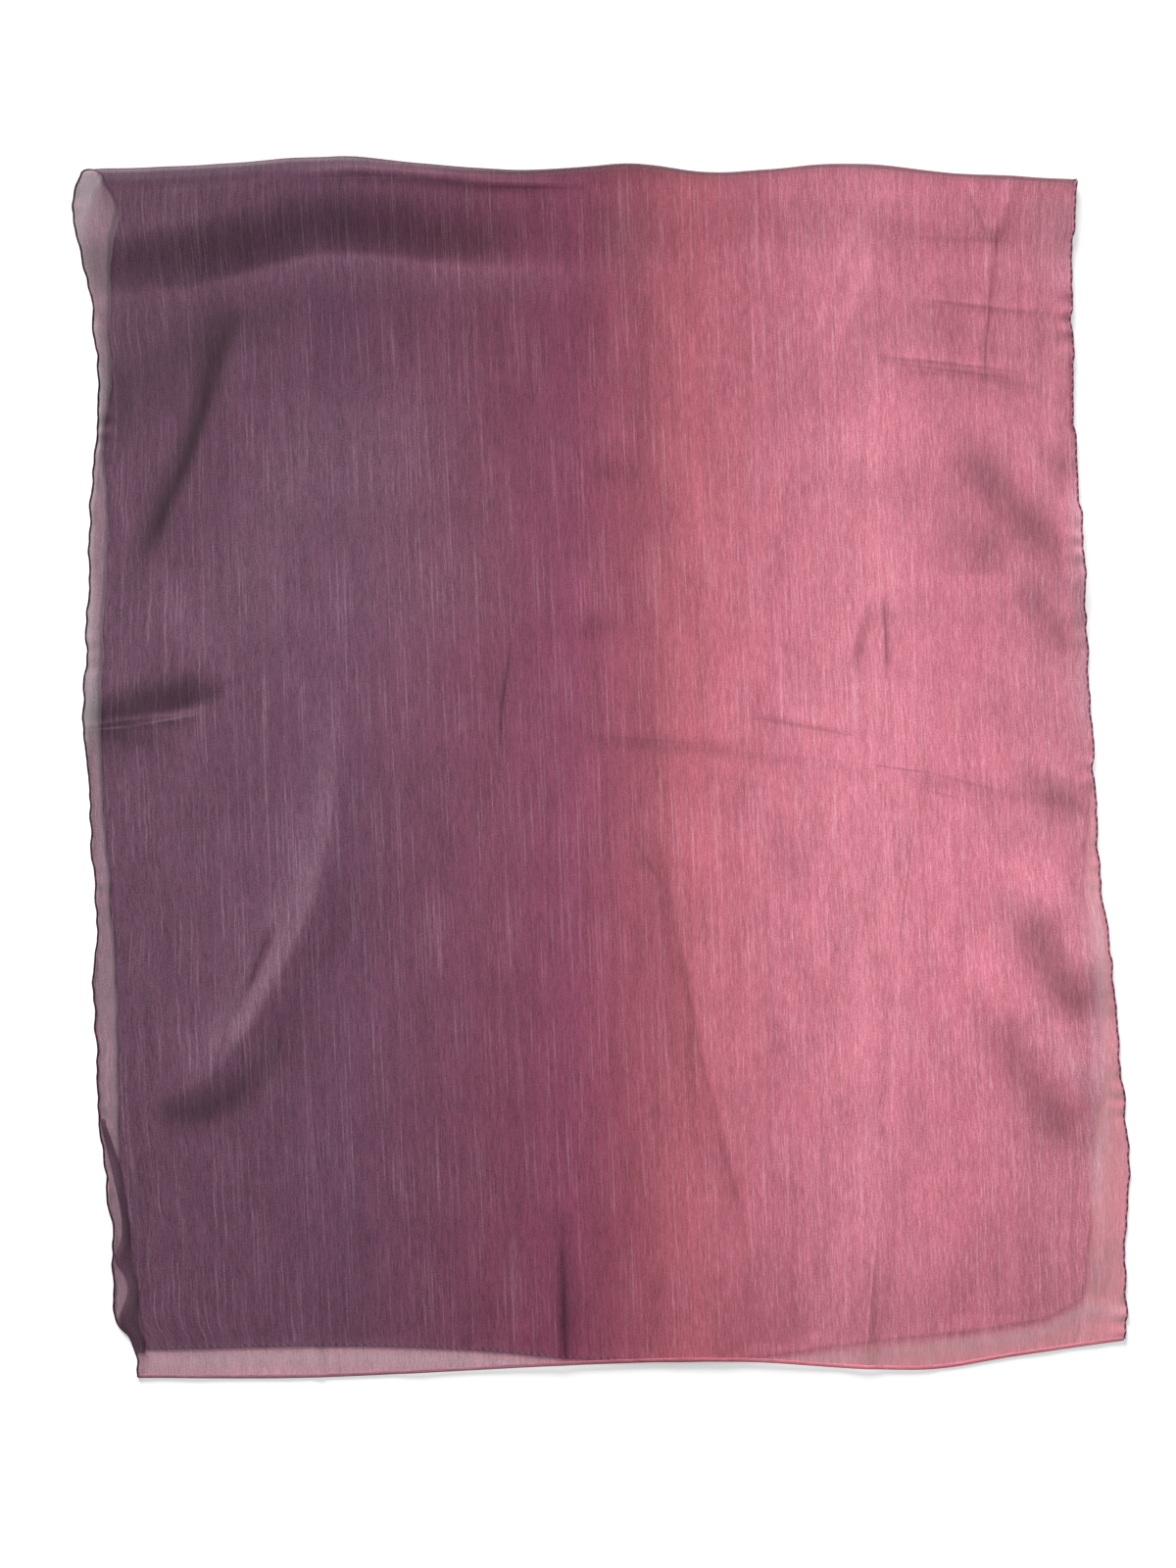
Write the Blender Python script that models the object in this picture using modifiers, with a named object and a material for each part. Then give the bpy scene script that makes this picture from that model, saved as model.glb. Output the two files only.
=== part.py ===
"""A shawl-length hijab of sheer satin chiffon, folded once across its length and laid flat.

Units are metres and +Z is up. The fold lies at +Y and the two short ends at -Y, so the cloth shows as
an upper and an under layer with a soft bight between them. The rolled hems of the long edges run along
-X and +X. The origin is the bottom centre of the whole, on the surface that the cloth lies on.
"""

from collections import namedtuple

import bpy
import numpy as np

# Cloth and hems
CLOTH = 0.0010  # wall of a layer: the crinkled cloth with the air in it
GAP = 0.0003  # space left where two pieces meet
HEM_RADIUS = 0.0008  # a rolled hem is a round bead
END_HEM_DEPTH = 0.0030  # an end hem is turned and stitched flat
HEM_REACH = GAP + 2 * HEM_RADIUS  # from a side edge of a layer to the outside of its hem
END_REACH = GAP + END_HEM_DEPTH

# How high the upper layer lies, measured at the underside of its wall
HEM_CLEARANCE = 0.0005  # more than the gap, because the wall is flat between its grid lines
OVER_HEM = 2 * HEM_RADIUS + HEM_CLEARANCE
ON_SURFACE = HEM_RADIUS - CLOTH / 2
SINK_WIDTH = 0.016  # past the under layer it comes down to the surface over this width

# The bight at the fold stands up as a soft roll, fuller on the left
ROLL_TOP = 0.022
ROLL_SLOPE = 0.052
ROLL_LEFT_RISE = 0.0085
ROLL_RIGHT_RISE = 0.0030
ROLL_LEFT_END = -0.10
ROLL_RIGHT_START = 0.12

# Grid counts across the cloth, the same for every layer so that they meet point to point at the fold,
# and from the fold to the end
COLUMNS = 36
UPPER_ROWS = 42
UNDER_ROWS = 16
BIGHT_ROWS = 5
CROWDING = 0.5  # 0 spaces the grid lines evenly, 1 crowds them towards the edges
TURNED_COLUMNS = 2
TURNED_ROWS = (31, 40)  # the first and last of the upper layer's rows

# The outside of each layer at cross sections from the fold to the end, hems included
Section = namedtuple("Section", "y left right")
UPPER_SECTIONS = (
    Section(0.448, -0.384, 0.355),
    Section(0.415, -0.393, 0.353),
    Section(0.382, -0.387, 0.351),
    Section(0.329, -0.378, 0.350),
    Section(0.250, -0.375, 0.353),
    Section(0.212, -0.380, 0.356),
    Section(0.131, -0.382, 0.361),
    Section(0.069, -0.384, 0.364),
    Section(0.028, -0.386, 0.366),
    Section(-0.019, -0.382, 0.367),
    Section(-0.073, -0.380, 0.370),
    Section(-0.114, -0.376, 0.375),
    Section(-0.146, -0.379, 0.379),
    Section(-0.211, -0.377, 0.385),
    Section(-0.263, -0.375, 0.390),
    Section(-0.306, -0.370, 0.393),
    Section(-0.338, -0.366, 0.390),
    Section(-0.387, -0.364, 0.390),
    Section(-0.417, -0.360, 0.390),
    Section(-0.433, -0.349, 0.390),
    Section(-0.455, -0.345, 0.390),
)
UNDER_SECTIONS = (
    Section(0.443, -0.376, 0.352),
    Section(0.415, -0.360, 0.350),
    Section(0.391, -0.364, 0.348),
    Section(0.344, -0.367, 0.347),
    Section(0.274, -0.367, 0.349),
    Section(0.246, -0.371, 0.350),
    Section(0.189, -0.368, 0.353),
    Section(0.112, -0.371, 0.358),
    Section(0.048, -0.373, 0.361),
    Section(-0.022, -0.372, 0.362),
    Section(-0.073, -0.368, 0.358),
    Section(-0.118, -0.365, 0.362),
    Section(-0.162, -0.362, 0.365),
    Section(-0.228, -0.361, 0.372),
    Section(-0.271, -0.360, 0.365),
    Section(-0.311, -0.359, 0.363),
    Section(-0.357, -0.352, 0.362),
    Section(-0.397, -0.346, 0.357),
    Section(-0.434, -0.341, 0.352),
)

# Lines across the cloth: the outside of the fold, and of the two ends
Station = namedtuple("Station", "x y")
FOLD_LINE = (
    Station(-0.384, 0.445),
    Station(-0.338, 0.447),
    Station(-0.286, 0.450),
    Station(-0.190, 0.455),
    Station(-0.139, 0.451),
    Station(-0.061, 0.445),
    Station(0.020, 0.450),
    Station(0.070, 0.444),
    Station(0.179, 0.449),
    Station(0.267, 0.442),
    Station(0.355, 0.438),
)
UPPER_END = (
    Station(-0.344, -0.455),
    Station(-0.222, -0.455),
    Station(-0.111, -0.450),
    Station(-0.018, -0.445),
    Station(0.117, -0.443),
    Station(0.194, -0.448),
    Station(0.252, -0.448),
    Station(0.301, -0.440),
    Station(0.390, -0.427),
)
UNDER_END = (
    Station(-0.340, -0.434),
    Station(-0.157, -0.432),
    Station(-0.087, -0.435),
    Station(-0.018, -0.441),
    Station(0.100, -0.442),
    Station(0.201, -0.429),
    Station(0.303, -0.417),
    Station(0.332, -0.411),
    Station(0.357, -0.397),
)

# The largest folds of the upper layer, each a soft ridge along a bent line
Fold = namedtuple("Fold", "start middle end half_width height")
FOLDS = {
    "left_slope": Fold((-0.262, 0.350), (-0.280, 0.250), (-0.332, 0.140), 0.020, 0.0055),
    "edge_lip": Fold((-0.384, 0.036), (-0.345, 0.038), (-0.296, 0.048), 0.013, 0.0045),
    "long_curve": Fold((-0.200, 0.110), (-0.196, -0.075), (-0.312, -0.222), 0.022, 0.0085),
    "diagonal": Fold((0.028, -0.057), (0.070, -0.203), (0.122, -0.392), 0.020, 0.0050),
    "middle": Fold((-0.011, 0.026), (0.120, 0.012), (0.252, 0.000), 0.013, 0.0030),
    "right_shoulder": Fold((0.275, 0.212), (0.326, 0.198), (0.356, 0.155), 0.020, 0.0060),
    "right_bend": Fold((0.322, -0.141), (0.300, -0.236), (0.360, -0.250), 0.016, 0.0050),
    "top_right_crease": Fold((0.292, 0.405), (0.294, 0.330), (0.283, 0.264), 0.014, 0.0040),
    "end_peak": Fold((-0.030, -0.440), (-0.028, -0.395), (-0.026, -0.349), 0.014, 0.0040),
    "end_ridge": Fold((0.212, -0.300), (0.206, -0.378), (0.194, -0.440), 0.016, 0.0045),
}
FOLD_STEPS = 24  # points along a fold's line when a distance to it is measured
FOLD_END_SHARE = 0.25  # a fold rises and dies out over this share of its length, from this share of its height

PLUM = (0.145, 0.070, 0.115, 1.0)
ROSE = (0.560, 0.160, 0.240, 1.0)
DARK_PLUM = (0.045, 0.014, 0.028, 1.0)


def flowing(at, places, values):
    """A smooth curve through the values, read at `at`: a cubic piece between each two places, whose end
    slopes are those of the points around it."""
    places = np.asarray(places, float)
    values = np.asarray(values, float)
    if places[0] > places[-1]:
        places = places[::-1]
        values = values[::-1]
    slopes = np.gradient(values, places)
    at = np.clip(at, places[0], places[-1])
    i = np.clip(np.searchsorted(places, at) - 1, 0, len(places) - 2)
    span = places[i + 1] - places[i]
    t = (at - places[i]) / span
    start = (1 + 2 * t) * (1 - t) ** 2 * values[i] + t * (1 - t) ** 2 * span * slopes[i]
    end = t**2 * (3 - 2 * t) * values[i + 1] + t**2 * (t - 1) * span * slopes[i + 1]
    return start + end


def column(rows, name):
    return [getattr(row, name) for row in rows]


def line_at(stations, x):
    return flowing(x, column(stations, "x"), column(stations, "y"))


def side_at(sections, side, y):
    return flowing(y, column(sections, "y"), column(sections, side))


def eased(t):
    """0 to 1 with level ends."""
    t = np.clip(t, 0, 1)
    return t * t * (3 - 2 * t)


def crowded(t):
    """0 to 1, with even steps made smaller towards both ends."""
    return (1 - CROWDING) * t + CROWDING * (1 - np.cos(np.pi * t)) / 2


def ridge(x, y, fold):
    """A bell across the fold's line and an eased rise and fall along it."""
    t = np.linspace(0, 1, FOLD_STEPS)[:, None]
    start, middle, end = (np.array(point) for point in (fold.start, fold.middle, fold.end))
    line = (1 - t) ** 2 * start + 2 * t * (1 - t) * middle + t**2 * end
    apart = np.hypot(x[:, None] - line[:, 0], y[:, None] - line[:, 1])
    nearest = apart.argmin(axis=1)
    along = t[nearest, 0]
    body = eased(along / FOLD_END_SHARE) * eased((1 - along) / FOLD_END_SHARE)
    height = fold.height * (FOLD_END_SHARE + (1 - FOLD_END_SHARE) * body)
    return height * np.exp(-((apart.min(axis=1) / fold.half_width) ** 2))


def roll_rise(x):
    """How far the bight stands above the flat cloth, falling from left to right."""
    share = eased((x - ROLL_LEFT_END) / (ROLL_RIGHT_START - ROLL_LEFT_END))
    return ROLL_LEFT_RISE + (ROLL_RIGHT_RISE - ROLL_LEFT_RISE) * share


def past_under_layer(x, y):
    """How far a point lies outside the under layer and its hems, and below 0 inside."""
    left = side_at(UNDER_SECTIONS, "left", y) - x
    right = x - side_at(UNDER_SECTIONS, "right", y)
    end = line_at(UNDER_END, x) - y
    return np.maximum(np.maximum(left, right), end)


def upper_underside(x, y):
    """The height of the upper layer's underside: over the under layer's hems, down to the surface past
    them, with the roll at the fold and the folds on top."""
    lying = OVER_HEM + (ON_SURFACE - OVER_HEM) * eased(past_under_layer(x, y) / SINK_WIDTH)
    from_fold = line_at(FOLD_LINE, x) - y
    height = lying + roll_rise(x) * (1 - eased((from_fold - ROLL_TOP) / ROLL_SLOPE))
    for fold in FOLDS.values():
        height = height + ridge(x, y, fold)
    return height


def bight_radius(x):
    """Half the height between the middles of the two layers at the fold."""
    return (OVER_HEM + roll_rise(x)) / 2


def layer_outline(u, v, sections, end_line):
    """Where the point at share u across and share v from the fold to the end lies in plan."""
    first, last = sections[0].left, sections[0].right
    across = first + (last - first) * u
    top = line_at(FOLD_LINE, across) - bight_radius(across) - CLOTH / 2 - GAP
    x_at_end = end_line[0].x + (end_line[-1].x - end_line[0].x) * u
    bottom = line_at(end_line, x_at_end) + END_REACH
    y = top + (bottom - top) * v
    left = side_at(sections, "left", y) + HEM_REACH
    right = side_at(sections, "right", y) - HEM_REACH
    return left + (right - left) * u, y


def upper_layer_at(u, v):
    x, y = layer_outline(crowded(u), crowded(v), UPPER_SECTIONS, UPPER_END)
    return x, y, upper_underside(x, y) + CLOTH / 2


def under_layer_at(u, v):
    x, y = layer_outline(crowded(u), crowded(v), UNDER_SECTIONS, UNDER_END)
    return x, y, np.full_like(x, CLOTH / 2)


def bight_at(u, turn):
    """The half ring from the under layer, turn 1, round the fold to the upper layer, turn 0."""
    upper_x, upper_y, upper_z = upper_layer_at(u, np.zeros_like(u))
    under_x, under_y, under_z = under_layer_at(u, np.zeros_like(u))
    angle = np.pi * (0.5 - turn)
    share = (1 + np.sin(angle)) / 2
    middle = (upper_z + under_z) / 2
    radius = (upper_z - under_z) / 2
    x = under_x + (upper_x - under_x) * share
    y = under_y + (upper_y - under_y) * share + GAP
    return x, y + radius * np.cos(angle), middle + radius * np.sin(angle)


def turned_edge_at(u, v):
    """The upper layer's own outermost columns, moved up by the cloth that lies below."""
    first, last = (row / UPPER_ROWS for row in TURNED_ROWS)
    x, y, z = upper_layer_at(u * TURNED_COLUMNS / COLUMNS, first + (last - first) * v)
    return x, y, z + CLOTH + GAP


def end_hem_at(layer_at):
    """The strip just past the end of a layer, from the layer's own end points."""

    def place(u, v):
        x, y, z = layer_at(u, np.ones_like(u))
        return x, y - GAP - END_HEM_DEPTH * v, np.maximum(z, HEM_RADIUS)

    return place


def cloth_material(name, colour):
    material = bpy.data.materials.new(name)
    material.use_nodes = True
    shader = material.node_tree.nodes["Principled BSDF"]
    shader.inputs["Base Color"].default_value = colour
    shader.inputs["Roughness"].default_value = 0.45
    shader.inputs["Metallic"].default_value = 0.0
    material.diffuse_color = colour
    return material


def finish(piece, name, colour, collection):
    piece.name = name
    piece.data.name = name
    piece.data.materials.append(cloth_material(name, colour))
    for home in piece.users_collection:
        home.objects.unlink(piece)
    collection.objects.link(piece)


def sheet(name, columns, rows, place, wall, colour, collection):
    """A grid laid out by place(u, v), with its wall half on each side."""
    bpy.ops.mesh.primitive_grid_add(x_subdivisions=columns, y_subdivisions=rows, size=1)
    piece = bpy.context.object
    points = np.empty(3 * len(piece.data.vertices))
    piece.data.vertices.foreach_get("co", points)
    points = points.reshape(-1, 3)
    laid = np.stack(place(points[:, 0] + 0.5, 0.5 - points[:, 1]), axis=1)
    piece.data.vertices.foreach_set("co", laid.ravel())
    piece.data.shade_smooth()
    solidify = piece.modifiers.new("wall", "SOLIDIFY")
    solidify.thickness = wall
    solidify.offset = 0
    finish(piece, name, colour, collection)


def side_route(edge, outwards):
    """The middle of a rolled hem: up the under layer's edge, round the bight, down the upper layer's."""
    rows_under = np.linspace(1, 0, UNDER_ROWS + 1)
    rows_upper = np.linspace(0, 1, UPPER_ROWS + 1)
    turns = np.linspace(1, 0, BIGHT_ROWS + 1)[1:-1]
    stretches = (
        under_layer_at(np.full_like(rows_under, edge), rows_under),
        bight_at(np.full_like(turns, edge), turns),
        upper_layer_at(np.full_like(rows_upper, edge), rows_upper),
    )
    route = np.concatenate([np.stack(stretch, axis=1) for stretch in stretches])
    past_end = np.array((0, -END_REACH, 0))
    route = np.concatenate([route[:1] + past_end, route, route[-1:] + past_end])
    along = np.gradient(route, axis=0)
    along /= np.linalg.norm(along, axis=1, keepdims=True)
    aside = np.array((outwards, 0, 0)) - outwards * along[:, :1] * along
    aside /= np.linalg.norm(aside, axis=1, keepdims=True)
    route = route + aside * (GAP + HEM_RADIUS)
    route[:, 2] = np.maximum(route[:, 2], HEM_RADIUS)
    return route


def rolled_hem(name, edge, outwards, colour, collection):
    curve = bpy.data.curves.new(name, "CURVE")
    curve.dimensions = "3D"
    curve.bevel_depth = HEM_RADIUS
    curve.bevel_resolution = 1
    curve.use_fill_caps = True
    route = side_route(edge, outwards)
    spline = curve.splines.new("POLY")
    spline.points.add(len(route) - 1)
    for point, place in zip(spline.points, route):
        point.co = (*place, 1)
    piece = bpy.data.objects.new(name, curve)
    collection.objects.link(piece)
    piece.data.materials.append(cloth_material(name, colour))


def build():
    for leftover in list(bpy.data.objects):
        bpy.data.objects.remove(leftover)
    hijab = bpy.data.collections.new("hijab")
    bpy.context.scene.collection.children.link(hijab)
    turned_rows = TURNED_ROWS[1] - TURNED_ROWS[0]
    sheet("under_layer", COLUMNS, UNDER_ROWS, under_layer_at, CLOTH, PLUM, hijab)
    sheet("upper_layer", COLUMNS, UPPER_ROWS, upper_layer_at, CLOTH, ROSE, hijab)
    sheet("fold_bight", COLUMNS, BIGHT_ROWS, bight_at, CLOTH, ROSE, hijab)
    sheet("turned_edge", TURNED_COLUMNS, turned_rows, turned_edge_at, CLOTH, DARK_PLUM, hijab)
    under_end_at = end_hem_at(under_layer_at)
    upper_end_at = end_hem_at(upper_layer_at)
    sheet("under_end_hem", COLUMNS, 1, under_end_at, 2 * HEM_RADIUS, DARK_PLUM, hijab)
    sheet("upper_end_hem", COLUMNS, 1, upper_end_at, 2 * HEM_RADIUS, ROSE, hijab)
    rolled_hem("left_rolled_hem", 0.0, -1, DARK_PLUM, hijab)
    rolled_hem("right_rolled_hem", 1.0, 1, DARK_PLUM, hijab)


build()
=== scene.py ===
# %% [markdown]
# # A chiffon hijab, folded and laid flat
#
# The real thing is one rectangle of sheer satin chiffon, 0.75 m by 1.80 m, dyed from plum on one long
# edge to rose on the other, with a narrow rolled hem all round. It is folded once across its length and
# laid on a table, so an upper half lies on an under half and a soft bight joins them at the far end.
#
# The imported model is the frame: it gives the size and the place of every piece. Its cloth is a plain
# wall, good for collisions, and the pieces made below take the places of its solids.

# %% Load the frame
from collections import namedtuple

import bpy
import numpy as np
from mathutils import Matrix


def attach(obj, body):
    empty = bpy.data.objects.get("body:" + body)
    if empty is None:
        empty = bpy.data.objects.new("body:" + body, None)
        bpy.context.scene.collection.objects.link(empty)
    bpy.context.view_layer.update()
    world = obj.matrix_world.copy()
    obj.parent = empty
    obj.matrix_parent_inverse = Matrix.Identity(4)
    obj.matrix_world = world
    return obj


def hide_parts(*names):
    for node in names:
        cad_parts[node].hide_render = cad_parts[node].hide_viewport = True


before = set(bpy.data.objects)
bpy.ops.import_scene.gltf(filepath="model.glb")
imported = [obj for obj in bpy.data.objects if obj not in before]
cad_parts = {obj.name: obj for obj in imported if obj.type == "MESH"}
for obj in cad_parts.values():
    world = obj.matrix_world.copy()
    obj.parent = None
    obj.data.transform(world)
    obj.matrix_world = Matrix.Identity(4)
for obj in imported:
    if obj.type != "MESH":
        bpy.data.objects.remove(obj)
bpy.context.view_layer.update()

print("solids in the frame:", ", ".join(sorted(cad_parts)))

# %% [markdown]
# ## Sizes of the cloth
#
# A maker would note the cut, the hems and how the folded cloth lies. The outline is drawn from a few
# cross sections: at each step from the fold to the free end, where the left and the right edge lie. A
# smooth curve through them gives the easy line of an edge that was laid down and not pressed. The tables
# are in millimetres, as a tape reads, and one function turns them into metres.

# %% Cut, hems and the room that the layers take, in metres
CUT_WIDTH = 0.750
UPPER_LENGTH = 0.915
UNDER_LENGTH = 0.885
HEM_RADIUS = 0.0008
END_HEM_DEPTH = 0.0030
LAYER = 0.0010  # the room that one crinkled layer takes
OVER_HEM = 2 * HEM_RADIUS + 0.0005
ON_SURFACE = HEM_RADIUS - LAYER / 2
SINK_WIDTH = 0.022  # over which the cloth comes down past the under half
DIP = 0.0010  # how far a crease may sink between two crinkled layers
print(f"cut: {CUT_WIDTH:.2f} m by {UPPER_LENGTH + UNDER_LENGTH:.2f} m")

# %% Cross sections of the two halves, in millimetres
Section = namedtuple("Section", "y left right")


def in_metres(columns, *rows):
    """Rows with named columns, from plain rows in millimetres: each number over 1000."""
    return tuple(columns(*(number / 1000 for number in row)) for row in rows)


UPPER_SECTIONS = in_metres(
    Section,
    (448, -384, 355), (415, -393, 352), (382, -387, 349.5), (329, -378, 350), (250, -376, 351.5),
    (212, -380, 354), (131, -382, 358.5), (69, -384, 362), (28, -386, 364.5), (-19, -382, 367),
    (-73, -380, 370), (-114, -376, 375), (-146, -379, 379), (-211, -377, 385), (-263, -375, 390),
    (-306, -370, 393), (-338, -366, 390), (-387, -364, 390), (-417, -360, 390), (-425, -352, 390),
    (-433, -349, 390), (-455, -345, 390),
)
UNDER_SECTIONS = in_metres(
    Section,
    (443, -376, 352), (415, -360, 350), (391, -364, 348), (344, -367, 347), (274, -367, 349),
    (246, -371, 350), (189, -368, 353), (112, -371, 358), (48, -373, 361), (-22, -372, 362),
    (-73, -368, 358), (-118, -365, 362), (-162, -362, 365), (-228, -361, 372), (-271, -360, 365),
    (-311, -359, 363), (-357, -352, 362), (-397, -346, 357), (-434, -341, 352),
)
print("cross sections:", len(UPPER_SECTIONS), "of the upper half,", len(UNDER_SECTIONS), "of the under half")

# %% Lines across the cloth: the fold and the two ends, in millimetres
Station = namedtuple("Station", "x y")
FOLD_LINE = in_metres(
    Station,
    (-384, 444), (-338, 445), (-286, 448), (-190, 453), (-139, 449), (-61, 444), (-10, 447.5), (20, 449.5),
    (70, 443), (179, 449), (267, 442), (355, 437),
)
UPPER_END = in_metres(
    Station,
    (-344, -455), (-222, -455), (-111, -450), (-18, -445), (117, -443), (194, -448), (252, -448),
    (301, -440), (390, -427),
)
UNDER_END = in_metres(
    Station,
    (-340, -434), (-157, -432), (-87, -435), (-18, -441), (100, -442), (201, -429), (303, -417),
    (332, -411), (357, -397),
)


# %% Smooth curves through a table
def eased(t):
    """0 to 1 with level ends: 3t^2 - 2t^3."""
    t = np.clip(t, 0, 1)
    return t * t * (3 - 2 * t)


def flowing(at, places, values):
    """A smooth curve through the values, read at `at`: a cubic piece between each two places, whose end
    slopes are those of the points around it."""
    places = np.asarray(places, float)
    values = np.asarray(values, float)
    if places[0] > places[-1]:
        places = places[::-1]
        values = values[::-1]
    slopes = np.gradient(values, places)
    at = np.clip(at, places[0], places[-1])
    i = np.clip(np.searchsorted(places, at) - 1, 0, len(places) - 2)
    span = places[i + 1] - places[i]
    t = (at - places[i]) / span
    start = (1 + 2 * t) * (1 - t) ** 2 * values[i] + t * (1 - t) ** 2 * span * slopes[i]
    end = t**2 * (3 - 2 * t) * values[i + 1] + t**2 * (t - 1) * span * slopes[i + 1]
    return start + end


def column(rows, name):
    """One named column of a table, as a list."""
    return [getattr(row, name) for row in rows]


def line_at(stations, x):
    """y of a line across the cloth, at x."""
    return flowing(x, column(stations, "x"), column(stations, "y"))


def side_at(sections, side, y):
    """x of the left or the right edge, at y."""
    return flowing(y, column(sections, "y"), column(sections, side))


print(f"in the middle, the folded cloth is {line_at(FOLD_LINE, 0) - line_at(UPPER_END, 0):.3f} m long")
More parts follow.
